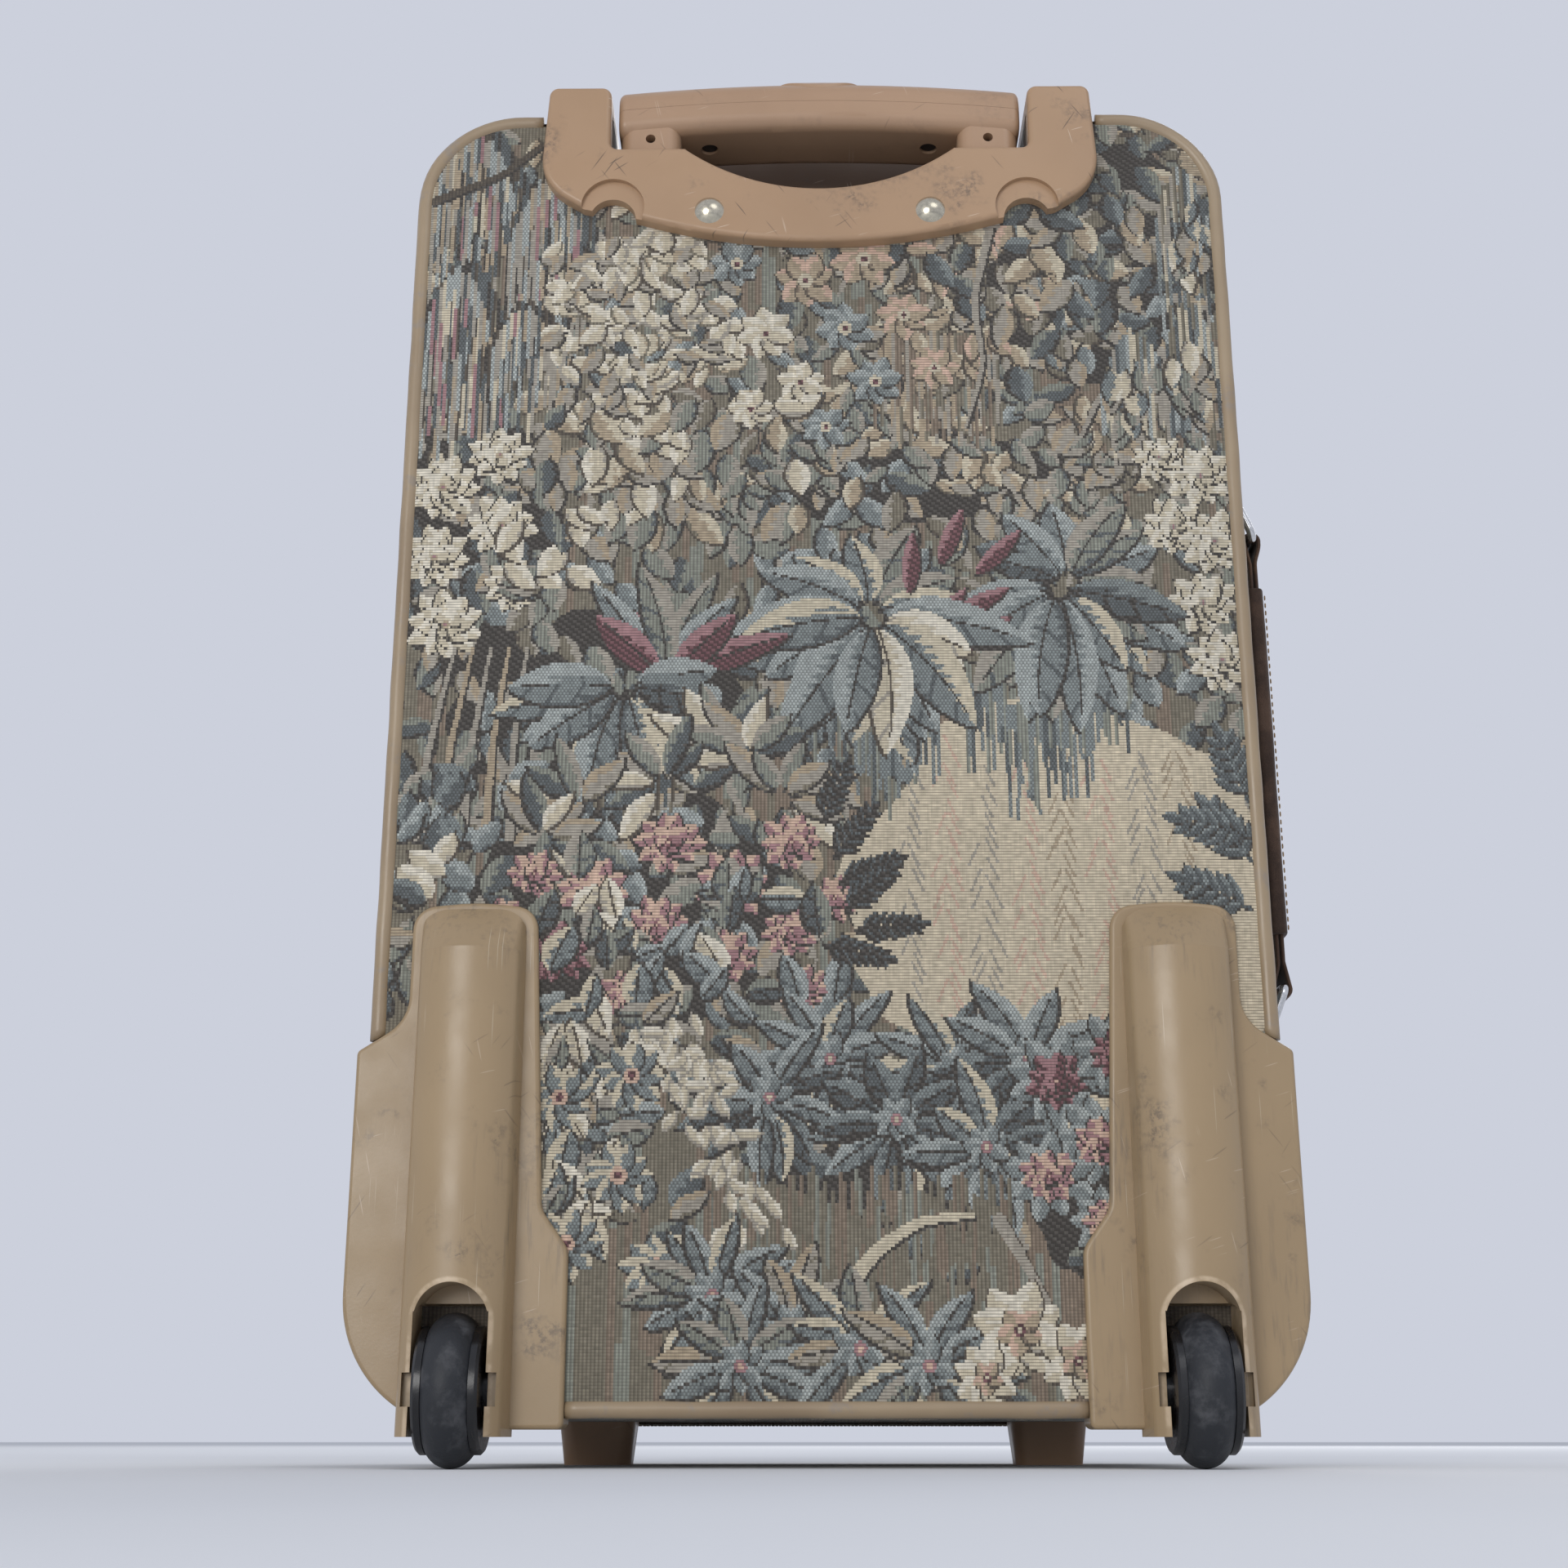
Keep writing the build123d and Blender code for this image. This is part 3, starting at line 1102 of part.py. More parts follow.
for name, piece in [
    ("outer_tube", outer_tube()),
    ("inner_tube", inner_tube()),
    ("release_rod", release_rod()),
    ("lock_pin", lock_pin()),
    ("wheel_housing", wheel_housing()),
    ("wheel_axle", wheel_axle()),
    ("tyre", tyre()),
    ("wheel_hub", wheel_hub()),
    ("wheel_bush", wheel_bush()),
    ("foot", foot()),
]:
    nodes.update(left_and_right(name, piece))

os.makedirs("parts", exist_ok=True)
for name, shape in nodes.items():
    export_step(Pos(SHIFT_X, SHIFT_Y, 0) * shape, "parts/" + name + ".step")
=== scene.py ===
"""Looks of the rolling suitcase: woven cloth, worn tan plastic, vinyl piping and a leather side handle."""
from math import acos, atan2, cos, pi, radians, sin

import bpy
import numpy as np
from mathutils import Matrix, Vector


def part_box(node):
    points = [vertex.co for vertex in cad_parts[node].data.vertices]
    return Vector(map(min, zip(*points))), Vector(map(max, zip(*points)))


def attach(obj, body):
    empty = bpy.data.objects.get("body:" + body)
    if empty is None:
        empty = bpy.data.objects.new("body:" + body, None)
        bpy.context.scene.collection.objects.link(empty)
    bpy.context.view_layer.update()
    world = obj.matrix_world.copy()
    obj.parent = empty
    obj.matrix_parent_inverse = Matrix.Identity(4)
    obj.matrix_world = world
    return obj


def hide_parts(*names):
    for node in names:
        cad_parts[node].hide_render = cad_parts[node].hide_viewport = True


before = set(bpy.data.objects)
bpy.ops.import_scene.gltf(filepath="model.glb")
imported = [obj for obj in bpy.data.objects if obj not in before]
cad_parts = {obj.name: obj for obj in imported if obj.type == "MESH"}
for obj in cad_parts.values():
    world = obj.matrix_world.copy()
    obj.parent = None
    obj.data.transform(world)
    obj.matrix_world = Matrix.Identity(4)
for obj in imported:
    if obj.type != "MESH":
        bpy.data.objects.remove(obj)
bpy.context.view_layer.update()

# Shared sizes, in millimetres from the case's middle plane, its back cloth and the ground
MM = 0.001
panel_low, panel_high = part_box("back_panel")
MIDDLE_X = (panel_low.x + panel_high.x) / 2
BACK_Y = panel_low.y
CASE_HALF = 166.5
CASE_FLOOR = 16.5
CASE_TOP = 541.0
CASE_MID = (CASE_FLOOR + CASE_TOP) / 2
CORNER = 42.0
SIDE_BULGE = 9.0
WALL_REAR = 4.975
BULGE_FRONT = 148.7
SEAM_REAR = 159.7
SEAM_FRONT = 160.3
LID_FRONT = 191.0
PIPING_RADIUS = 3.25
PIPING_DEPTH = PIPING_RADIUS / 2
WHEEL_X = 129.0
ARCH_MID = 48.4
ARCH_RADIUS = 13.9
HANDLE_X = 184.0
HANDLE_Y = 80.0

# Edges of the flat cloths, their roll down to the piping, and insets of the walls' cloth and lining
PANEL_EDGE = 5.5
PANEL_X = (PANEL_EDGE - CASE_HALF, CASE_HALF - PANEL_EDGE)
PANEL_Z = (CASE_FLOOR + PANEL_EDGE, CASE_TOP - PANEL_EDGE)
CLOTH_INSET = 5.6
CLOTH_ROLL = 9.0
CLOTH_LOFT = 0.45
WALL_INSET = 0.4
LINING_INSET = 3.5

# Pocket and the flat bed under it: half width, foot, top and corner radius
POCKET = (141.0, 53.75, 423.75, 36.0)
POCKET_BED = (141.0, 54.0, 424.0, 36.0)


def to_frame(x, y, z):
    """Points in the shared sizes as an array of metres in the model's frame."""
    x, y, z = np.broadcast_arrays(np.asarray(x, float), y, z)
    return np.stack([x * MM + MIDDLE_X, y * MM + BACK_Y, z * MM], axis=-1)


# Materials


def srgb(red, green, blue):
    """Linear colour of an 8-bit display colour."""
    def linear(value):
        share = value / 255
        return share / 12.92 if share <= 0.04045 else ((share + 0.055) / 1.055) ** 2.4
    return (linear(red), linear(green), linear(blue), 1.0)


class Finish:
    """One node material, with short calls for the nodes that it is made of."""

    def __init__(self, name, **sockets):
        self.material = bpy.data.materials.new(name)
        self.material.use_nodes = True
        tree = self.material.node_tree
        self.nodes = tree.nodes
        self.links = tree.links
        self.shader = tree.nodes["Principled BSDF"]
        self.set(**sockets)
        self.where = self.node("ShaderNodeTexCoord").outputs["Object"]

    def join(self, socket, value):
        """Link a socket to another one, or set it to a constant."""
        if isinstance(value, bpy.types.NodeSocket):
            self.links.new(value, socket)
        else:
            socket.default_value = value

    def node(self, kind, inputs=None, **settings):
        """New node with its settings and inputs."""
        node = self.nodes.new(kind)
        for key, value in settings.items():
            setattr(node, key, value)
        for key, value in (inputs or {}).items():
            self.join(node.inputs[key], value)
        return node

    def set(self, **sockets):
        """Sockets of the shader, named in lower case with underscores."""
        for key, value in sockets.items():
            name = key.replace("_", " ").title().replace("Ior", "IOR")
            self.join(self.shader.inputs[name], value)

    def math(self, operation, first, second=0.0, third=0.0):
        """Result of one sum."""
        return self.node("ShaderNodeMath", {0: first, 1: second, 2: third}, operation=operation).outputs[0]

    def times(self, first, second):
        """Product of two values."""
        return self.math("MULTIPLY", first, second)

    def plane(self, first, second):
        """Vector of two coordinates."""
        return self.node("ShaderNodeCombineXYZ", {0: first, 1: second, 2: 0.0}).outputs[0]

    def step(self, value, low, high, to_low=0.0, to_high=1.0):
        """Smooth step of a value between two limits."""
        inputs = {0: value, 1: low, 2: high, 3: to_low, 4: to_high}
        return self.node("ShaderNodeMapRange", inputs, interpolation_type="SMOOTHSTEP").outputs[0]

    def stretched(self, stretch):
        """Object coordinates scaled along each axis."""
        return self.node("ShaderNodeMapping", {"Vector": self.where, "Scale": stretch}).outputs[0]

    def noise(self, scale, detail=2.0, rough=0.5, where=None):
        """Soft noise at one scale."""
        inputs = {"Vector": where or self.where, "Scale": scale, "Detail": detail, "Roughness": rough}
        return self.node("ShaderNodeTexNoise", inputs).outputs["Fac"]

    def mix(self, share, first, second, blend="MIX"):
        """Colour between two colours."""
        inputs = {0: share, 6: first, 7: second}
        return self.node("ShaderNodeMix", inputs, data_type="RGBA", blend_type=blend).outputs[2]

    def axis(self, vector, name):
        """One coordinate of a vector."""
        return self.node("ShaderNodeSeparateXYZ", {0: vector}).outputs[name]

    def bump(self, height, distance, strength=1.0):
        """Surface relief from a height."""
        inputs = {"Height": height, "Distance": distance, "Strength": strength}
        self.set(normal=self.node("ShaderNodeBump", inputs).outputs[0])


def shaded(colour, share):
    """Colour made darker or lighter."""
    return tuple(part * share for part in colour[:3]) + (1.0,)


def cloth_finish(name):
    """Ribbed jacquard: weft ribs, warp dots and lines over a dark ground warp, by each face's yarn; the
    ground in the grooves between ribs also carries painted shade.
    """
    f = Finish(name, roughness=0.86, sheen_weight=0.22, sheen_roughness=0.5, specular_ior_level=0.22)
    thread = f.node("ShaderNodeAttribute", attribute_name="thread").outputs["Vector"]
    yarn = f.node("ShaderNodeAttribute", attribute_name="yarn").outputs
    kind = f.times(yarn["Alpha"], WEAVES)
    u, v = f.axis(thread, "X"), f.axis(thread, "Y")
    column, row = f.math("FLOOR", u), f.math("FLOOR", v)
    rib = f.math("SINE", f.times(f.math("FRACT", v), pi))
    warp = f.math("SINE", f.times(f.math("FRACT", u), pi))
    check = f.math("FLOORED_MODULO", f.math("ADD", column, row), 2.0)
    upright = f.math("FLOORED_MODULO", column, 2.0)
    slant = f.math("FLOORED_MODULO", f.math("MULTIPLY_ADD", row, 2.0, column), 5.0)
    # weft cover falls off at the rib edges, where the dark ground shows: warp colour and painted groove shade
    cover = f.step(f.step(rib, 0.18, 0.6), 0.0, 1.0, 0.3, 1.0)
    dotted = f.times(f.step(check, 0.0, 1.0, 0.42, 1.0), f.step(rib, 0.0, 0.7, 0.45, 1.0))
    lined = f.times(f.step(upright, 0.0, 1.0, 0.5, 1.0), f.step(rib, 0.0, 0.6, 0.7, 1.0))
    dashed = f.step(f.math("LESS_THAN", slant, 1.5), 0.0, 1.0, 0.12, 0.85)
    for weave_number, choice in ((DOTS, dotted), (LINES, lined), (DASHES, dashed)):
        chosen = f.math("GREATER_THAN", kind, weave_number - 0.5)
        cover = f.node("ShaderNodeMix", {0: chosen, 2: cover, 3: choice}).outputs[0]
    slub = f.noise(1.0, 1.0, where=f.plane(f.times(u, 0.16), row))
    streak = f.noise(1.0, 1.0, where=f.plane(column, f.times(v, 0.09)))
    shade = f.times(f.step(slub, 0.25, 0.75, 0.8, 1.16), f.step(streak, 0.25, 0.75, 0.88, 1.1))
    shade = f.times(shade, f.step(f.noise(9.0, 3.0), 0.3, 0.7, 0.93, 1.07))
    grey = f.node("ShaderNodeCombineColor", {0: shade, 1: shade, 2: shade}).outputs[0]
    light = f.mix(1.0, yarn["Color"], grey, "MULTIPLY")
    # dark ground between the ribs: the warp's own colour, deepened as painted shade in the grooves
    dark = f.mix(0.5, f.mix(0.55, yarn["Color"], srgb(38, 36, 36)), srgb(58, 54, 50))
    f.set(base_color=f.mix(cover, dark, light))
    height = f.math("MULTIPLY_ADD", warp, 0.3, rib)
    f.bump(f.times(height, f.step(cover, 0.0, 1.0, 0.6, 1.0)), 0.00016, 0.9)
    return f.material


def scratches(f, turn, length, width, share):
    """Share of straight dashes of one size scattered over the x-z plane at one turn."""
    plane = f.plane(f.axis(f.where, "X"), f.axis(f.where, "Z"))
    inputs = {"Vector": plane, "Rotation": (0.0, 0.0, turn), "Scale": (length, width, 1.0)}
    cells = f.node("ShaderNodeMapping", inputs, vector_type="TEXTURE").outputs[0]
    spots = f.node("ShaderNodeTexVoronoi", {"Vector": cells, "Scale": 1.0}, voronoi_dimensions="2D")
    chosen = f.math("LESS_THAN", f.axis(spots.outputs["Color"], "X"), share)
    return f.times(chosen, f.step(spots.outputs["Distance"], 0.2, 0.36, 1.0, 0.0))


def arch_rim_wear_and_highlight(f):
    """Edge of the wheel arch in both housings, where the plastic is rubbed pale and a painted highlight is
    laid on.
    """
    low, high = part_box("tyre_left")
    reach = MIDDLE_X - (low.x + high.x) / 2
    from_middle = f.math("ABSOLUTE", f.math("SUBTRACT", f.axis(f.where, "X"), MIDDLE_X))
    across = f.math("SUBTRACT", from_middle, reach)
    above = f.math("MAXIMUM", f.math("SUBTRACT", f.axis(f.where, "Z"), ARCH_MID * MM), 0.0)
    ring = f.math("SQRT", f.math("MULTIPLY_ADD", across, across, f.times(above, above)))
    off = f.math("ABSOLUTE", f.math("SUBTRACT", ring, ARCH_RADIUS * MM))
    edge = f.step(off, 0.3 * MM, 1.3 * MM, 1.0, 0.0)
    return f.times(edge, f.step(f.noise(160.0, 3.0), 0.35, 0.6, 0.2, 1.0))


def plastic_finish(name, colour, roughness, wear, smear, streaky=0.0):
    """Moulded plastic with fine grain, grimy patches, dark and pale scratches, lengthwise rubbing and, where
    streaky, a pale arch rim of wear and painted highlight.
    """
    f = Finish(name, specular_ior_level=0.5)
    cloudy = f.step(f.noise(14.0, 3.0), 0.3, 0.7)
    tone = f.mix(cloudy, shaded(colour, 0.93), shaded(colour, 1.04))
    patch = f.step(f.noise(34.0, 4.0, 0.7), 0.54, 0.72)
    speck = f.step(f.noise(420.0, 4.0, 0.7), 0.4, 0.6)
    tone = f.mix(f.times(f.times(patch, speck), smear), tone, srgb(84, 76, 70))
    rubbed = f.step(f.noise(6.0, 4.0, 0.6, f.stretched((90.0, 90.0, 9.0))), 0.5, 0.7)
    rubbed = f.times(rubbed, f.step(f.noise(18.0, 2.0), 0.48, 0.66, 0.0, streaky))
    tone = f.mix(rubbed, tone, srgb(112, 101, 88))
    lines = f.times(scratches(f, pi / 2, 0.03, 0.0005, 0.04), streaky)
    lines = f.times(lines, f.step(f.noise(20.0, 1.0), 0.46, 0.6))
    tone = f.mix(lines, tone, srgb(206, 192, 170))
    worn = f.times(f.step(f.noise(24.0, 2.0), 0.5, 0.62), wear)
    for mark, width, share, dashes in (
        (srgb(74, 62, 56), 0.0009, 0.02, ((0.6, 0.012), (1.0, 0.02), (2.2, 0.015))),
        (srgb(216, 198, 178), 0.0006, 0.016, ((0.3, 0.009), (1.8, 0.014))),
    ):
        for turn, length in dashes:
            tone = f.mix(f.times(scratches(f, turn, length, width, share), worn), tone, mark)
    f.set(roughness=f.step(f.noise(60.0, 3.0), 0.2, 0.8, roughness - 0.06, roughness + 0.1))
    f.bump(f.noise(900.0, 2.0), 0.00006, 0.5)
    if streaky:
        # pale band round the wheel arch's edge: rubbed plastic with a painted highlight
        tone = f.mix(f.times(arch_rim_wear_and_highlight(f), 0.7), tone, srgb(216, 194, 164))
    f.set(base_color=tone)
    return f.material


def vinyl_finish():
    """Smooth vinyl piping with grey scuffs."""
    f = Finish("piping_vinyl", specular_ior_level=0.5, coat_weight=0.12, coat_roughness=0.2)
    base = f.mix(f.step(f.noise(20.0, 3.0), 0.3, 0.7), srgb(149, 129, 103), srgb(165, 145, 117))
    scuff = f.step(f.noise(70.0, 4.0, 0.7), 0.56, 0.7)
    f.set(base_color=f.mix(f.times(scuff, 0.55), base, srgb(140, 132, 124)))
    f.set(roughness=f.step(f.noise(50.0, 3.0), 0.3, 0.7, 0.3, 0.48))
    f.bump(f.noise(420.0, 3.0), 0.0002, 0.35)
    return f.material


def rubber_finish():
    """Worn black tyre."""
    f = Finish("tyre_rubber", specular_ior_level=0.35)
    worn = f.step(f.noise(90.0, 5.0, 0.65), 0.46, 0.72)
    f.set(base_color=f.mix(worn, srgb(44, 46, 50), srgb(84, 85, 88)))
    f.set(roughness=f.step(worn, 0.0, 1.0, 0.5, 0.8))
    f.bump(f.noise(260.0, 5.0, 0.7), 0.0005, 0.6)
    return f.material


def metal_finish(name, colour, roughness, stretch=(60.0, 60.0, 60.0)):
    """Metal with a fine brushed or speckled finish."""
    f = Finish(name, metallic=1.0)
    lines = f.noise(12.0, 3.0, 0.6, f.stretched(stretch))
    f.set(base_color=f.mix(f.step(lines, 0.3, 0.7), shaded(colour, 0.82), colour))
    f.set(roughness=f.step(lines, 0.25, 0.75, roughness, roughness + 0.12))
    f.bump(lines, 0.00003, 0.3)
    return f.material


def leather_finish(name, dark, light, roughness, grain):
    """Brown leather or suede with grain and rubbed high spots."""
    f = Finish(name, specular_ior_level=0.3, sheen_weight=0.15)
    inputs = {"Vector": f.where, "Scale": grain}
    cells = f.node("ShaderNodeTexVoronoi", inputs, feature="DISTANCE_TO_EDGE").outputs[0]
    worn = f.step(f.noise(60.0, 4.0, 0.65), 0.4, 0.72)
    f.set(base_color=f.mix(worn, dark, light))
    f.set(roughness=f.step(worn, 0.0, 1.0, roughness, roughness + 0.1))
    f.bump(f.math("MULTIPLY_ADD", f.noise(grain * 1.5, 3.0), 0.4, f.step(cells, 0.0, 0.25)), 0.00012, 0.6)
    return f.material


def tape_finish(name, dark, light):
    """Woven zip tape or lining with a fine twill."""
    f = Finish(name, roughness=0.85, sheen_weight=0.15, specular_ior_level=0.2)
    lines = f.math("ADD", f.axis(f.where, "Z"), f.math("ADD", f.axis(f.where, "X"), f.axis(f.where, "Y")))
    twill = f.math("SINE", f.times(lines, 2 * pi / 0.0012))
    shade = f.math("MULTIPLY_ADD", twill, 0.25, f.noise(40.0, 3.0))
    f.set(base_color=f.mix(f.step(shade, 0.2, 0.9), dark, light))
    f.bump(twill, 0.00008, 0.5)
    return f.material


def both(*names):
    """Names of the left and the right one of each pair."""
    return [name + side for name in names for side in ("_left", "_right")]


def dress(finish, *names):
    """Give CAD nodes their finish."""
    for name in names:
        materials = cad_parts[name].data.materials
        materials.clear()
        materials.append(finish)


# Weaves of the cloth, in the order of their numbers
RIBS, DOTS, LINES, DASHES = range(4)
WEAVES = 4.0

CLOTH = cloth_finish("woven_cloth")
VINYL = vinyl_finish()
BRASS = metal_finish("zip_metal", srgb(196, 192, 182), 0.2)
LEATHER = leather_finish("brown_leather", srgb(74, 52, 38), srgb(112, 84, 62), 0.5, 900.0)
SUEDE = leather_finish("brown_suede", srgb(68, 52, 43), srgb(98, 77, 64), 0.8, 1400.0)
THREAD = tape_finish("sewing_thread", srgb(150, 124, 94), srgb(184, 158, 124))
LINING = tape_finish("lining", srgb(96, 84, 70), srgb(124, 110, 92))

# Finishes of the CAD nodes
dress(plastic_finish("tan_plastic", srgb(172, 140, 112), 0.34, 0.3, 0.2),
      "grip_upper", "grip_lower", "release_button", *both("foot"))
dress(plastic_finish("bezel_plastic", srgb(172, 140, 109), 0.34, 0.6, 0.6), "handle_bezel")
dress(plastic_finish("housing_plastic", srgb(164, 141, 109), 0.34, 0.35, 0.6, 0.45), *both("wheel_housing"))
dress(plastic_finish("dark_plastic", srgb(46, 42, 40), 0.5, 0.2, 0.1),
      "grip_roll_pins", "grip_screws", "tube_bushes", "tube_base", "tube_guides", "release_yoke",
      *both("wheel_bush"))
dress(plastic_finish("cup_plastic", srgb(96, 77, 62), 0.5, 0.3, 0.5), "handle_cup")
dress(plastic_finish("hub_plastic", srgb(26, 26, 28), 0.24, 0.15, 0.1), *both("wheel_hub"))
dress(rubber_finish(), *both("tyre"))
dress(metal_finish("tube_alloy", srgb(206, 206, 208), 0.24, (40.0, 40.0, 4.0)),
      *both("inner_tube", "outer_tube"))
dress(metal_finish("bright_steel", srgb(214, 208, 198), 0.16),
      "foot_screws", "button_spring", *both("wheel_axle", "release_rod", "lock_pin"))
dress(metal_finish("ring_chrome", srgb(226, 226, 226), 0.08), "side_handle_rings", "side_handle_rivets")
dress(metal_finish("bezel_rivet", srgb(206, 198, 178), 0.16), "bezel_rivets")
dress(BRASS, "zip_slider_upper", "zip_slider_lower", "zip_pull_upper", "zip_pull_lower",
      "pocket_slider", "pocket_pull")
dress(tape_finish("zip_tape", srgb(62, 52, 42), srgb(100, 86, 70)),
      "zip_tape_case", "zip_tape_lid", "pocket_zip_tape")
dress(LEATHER, "side_handle_strap", "side_handle_tabs")
dress(SUEDE, "side_handle_sleeve")
dress(LINING, "back_panel", "front_panel", "body_wall", "lid_wall", "front_pocket")
dress(VINYL, "rear_piping", "front_piping")

# Yarns of the weaving charts, and the mark of a cell without cloth
(
    CHARCOAL, UMBER, OLIVE, TAN, CREAM, PALE, SLATE, BLUE, MIST, SAGE, WINE, ROSE, PEACH, STONE, GLADE,
    BRONZE,
) = range(16)
BARE = 255

# Each yarn's display colour and its weave
YARN_LOOKS = {
    CHARCOAL: (92, 88, 83, DASHES), UMBER: (100, 92, 82, LINES), OLIVE: (134, 127, 111, LINES),
    TAN: (176, 160, 136, RIBS), CREAM: (205, 194, 170, RIBS), PALE: (224, 216, 198, RIBS),
    SLATE: (106, 111, 111, DOTS), BLUE: (142, 149, 147, DOTS), MIST: (178, 184, 180, DOTS),
    SAGE: (146, 148, 136, LINES), WINE: (132, 95, 98, DASHES), ROSE: (164, 127, 128, RIBS),
    PEACH: (206, 176, 156, RIBS), STONE: (166, 159, 146, RIBS), GLADE: (208, 195, 170, RIBS),
    BRONZE: (142, 127, 111, LINES),
}
YARN_TABLE = np.array([srgb(*rgb)[:3] + (kind / WEAVES + 0.02,) for *rgb, kind in YARN_LOOKS.values()])

# Leaf mixes: the line under a leaf, its lit side, its body and its shaded foot
LEAVES = {
    "teal": (CHARCOAL, MIST, BLUE, SLATE),
    "teal_lit": (CHARCOAL, CREAM, BLUE, SLATE),
    "teal_dim": (CHARCOAL, BLUE, SLATE, CHARCOAL),
    "sage": (CHARCOAL, STONE, SAGE, SLATE),
    "sage_dim": (CHARCOAL, SAGE, SLATE, CHARCOAL),
    "cream": (UMBER, PALE, CREAM, STONE),
    "peony": (CHARCOAL, PALE, CREAM, OLIVE),
    "stone": (CHARCOAL, TAN, STONE, OLIVE),
    "warm": (UMBER, CREAM, TAN, OLIVE),
    "olive": (CHARCOAL, STONE, OLIVE, UMBER),
    "dark": (CHARCOAL, SLATE, CHARCOAL, CHARCOAL),
    "peach": (UMBER, PEACH, TAN, BRONZE),
    "rose": (CHARCOAL, PEACH, ROSE, WINE),
    "wine": (CHARCOAL, ROSE, WINE, WINE),
    "blossom": (STONE, PALE, CREAM, STONE),
    "catkin": (OLIVE, PALE, CREAM, TAN),
    "spray": (STONE, PALE, CREAM, CREAM),
}


class Loom:
    """Weaving chart: one yarn number in each cell, drawn back to front with simple shapes."""

    def __init__(self, x_range, z_range, cell, seed):
        self.x0, self.z0 = x_range[0], z_range[0]
        self.cell = cell
        columns = int(round((x_range[1] - x_range[0]) / cell[0]))
        rows = int(round((z_range[1] - z_range[0]) / cell[1]))
        self.chart = np.full((rows, columns), OLIVE, np.uint8)
        self.x = self.x0 + (np.arange(columns) + 0.5) * cell[0]
        self.z = self.z0 + (np.arange(rows) + 0.5) * cell[1]
        self.rng = np.random.default_rng(seed)

    def window(self, x, z, reach):
        """Part of the chart within reach of a point, with its cells' offsets from the point."""
        c0, c1 = np.searchsorted(self.x, (x - reach, x + reach))
        r0, r1 = np.searchsorted(self.z, (z - reach, z + reach))
        part = self.chart[r0:r1, c0:c1]
        return part, self.x[c0:c1][None, :] - x, self.z[r0:r1][:, None] - z

    def pick(self, choices):
        """One of some choices."""
        return choices[self.rng.integers(len(choices))]

    def pick_leaf(self, names):
        """Name of one of some leaf mixes."""
        return self.pick(names.split())

    def leaf(self, base, angle, length, width, mix, bend=0.0, veins=0, line=0.9):
        """Full leaf with a line under it, a lit tip and upper side and a shaded foot."""
        under, lit, body, foot = LEAVES[mix]
        part, dx, dz = self.window(base[0], base[1], length * 1.1 + width)
        ca, sa = cos(angle), sin(angle)
        u = (dx * ca + dz * sa) / length
        along = np.clip(u, 0, 1)
        s = (dz * ca - dx * sa - bend * length * along**2) * (1 if ca >= 0 else -1)
        half = 0.5 * width * np.sin(np.pi * along**0.9) ** 0.7 + 0.01
        around = (u > -line / length) & (u < 1 + line / length)
        part[around & (s > -half - line) & (s < half)] = under
        inside = (u > 0) & (u < 1) & (np.abs(s) < half)
        tone = s / half + 0.8 * u + 0.2 * np.sin(13.0 * (base[1] + dz))
        part[inside] = body
        part[inside & (tone > 0.66)] = lit
        part[inside & (tone < -0.5)] = foot
        if veins:
            vein = (u * veins - 0.4 * np.abs(s) / half) % 1.0 < 0.16
            part[inside & vein & (tone < 0.5)] = foot
            part[inside & (np.abs(s) < 0.45) & (u < 0.88)] = under

    def petals(self, centre, radius, count, width, mix, heart, squash=1.0):
        """Open flower: a ring of petals round a two-coloured heart."""
        turn = self.rng.uniform(0, pi)
        for k in range(count):
            angle = turn + 2 * pi * k / count + self.rng.uniform(-0.12, 0.12)
            length = radius * self.rng.uniform(0.88, 1.08) * (1 - (1 - squash) * abs(sin(angle)))
            self.leaf(centre, angle, length, width, mix, line=0.7)
        part, dx, dz = self.window(centre[0], centre[1], radius)
        r = np.hypot(dx, dz) / radius
        part[r < 0.24] = heart[0]
        part[r < 0.11] = heart[1]

    def ruffle(self, centre, radius, mix, heart):
        """Full flower: rings of petals, the inner ones over the outer ones."""
        for share, count in ((1.15, 10), (0.8, 8), (0.48, 6)):
            self.petals(centre, radius * share, count, radius * 0.6, mix, heart, 0.9)

    def stem(self, points, width, yarns):
        """Bent stem through some points, darker on its right: yarns are shade and fill."""
        points = np.array(points, float)
        steps = np.linspace(0, len(points) - 1, 80)
        way = np.stack([np.interp(steps, np.arange(len(points)), points[:, k]) for k in (0, 1)], 1)
        for _ in range(40):
            way[1:-1] = 0.25 * way[:-2] + 0.5 * way[1:-1] + 0.25 * way[2:]
        for shift, yarn in ((0.9, yarns[0]), (0.0, yarns[1])):
            for k, (x, z) in enumerate(way):
                radius = 0.5 * width * (1 - 0.6 * k / len(way))
                part, dx, dz = self.window(x + shift, z - shift, radius + 1)
                part[np.hypot(dx, dz) < radius] = yarn

    def streaks(self, x_range, top, foot, ragged, yarns, dome=0.0, up=False):
        """Upright streaks with ragged ends, hanging under a domed edge or growing up."""
        rng = self.rng
        middle, half = sum(x_range) / 2, (x_range[1] - x_range[0]) / 2
        for column in np.flatnonzero(np.abs(self.x - middle) < half)[::2]:
            high = top - dome * ((self.x[column] - middle) / half) ** 2 - 4 * rng.random()
            cut = ragged * rng.random() ** 1.6
            high, low = (high - cut, foot) if up else (high, foot + cut)
            while high > low:
                run = max(high - rng.uniform(8, 26), low)
                self.chart[(self.z < high) & (self.z > run), column:column + 2] = self.pick(yarns)
                high = run
                column = max(column + rng.integers(-1, 2), 0)

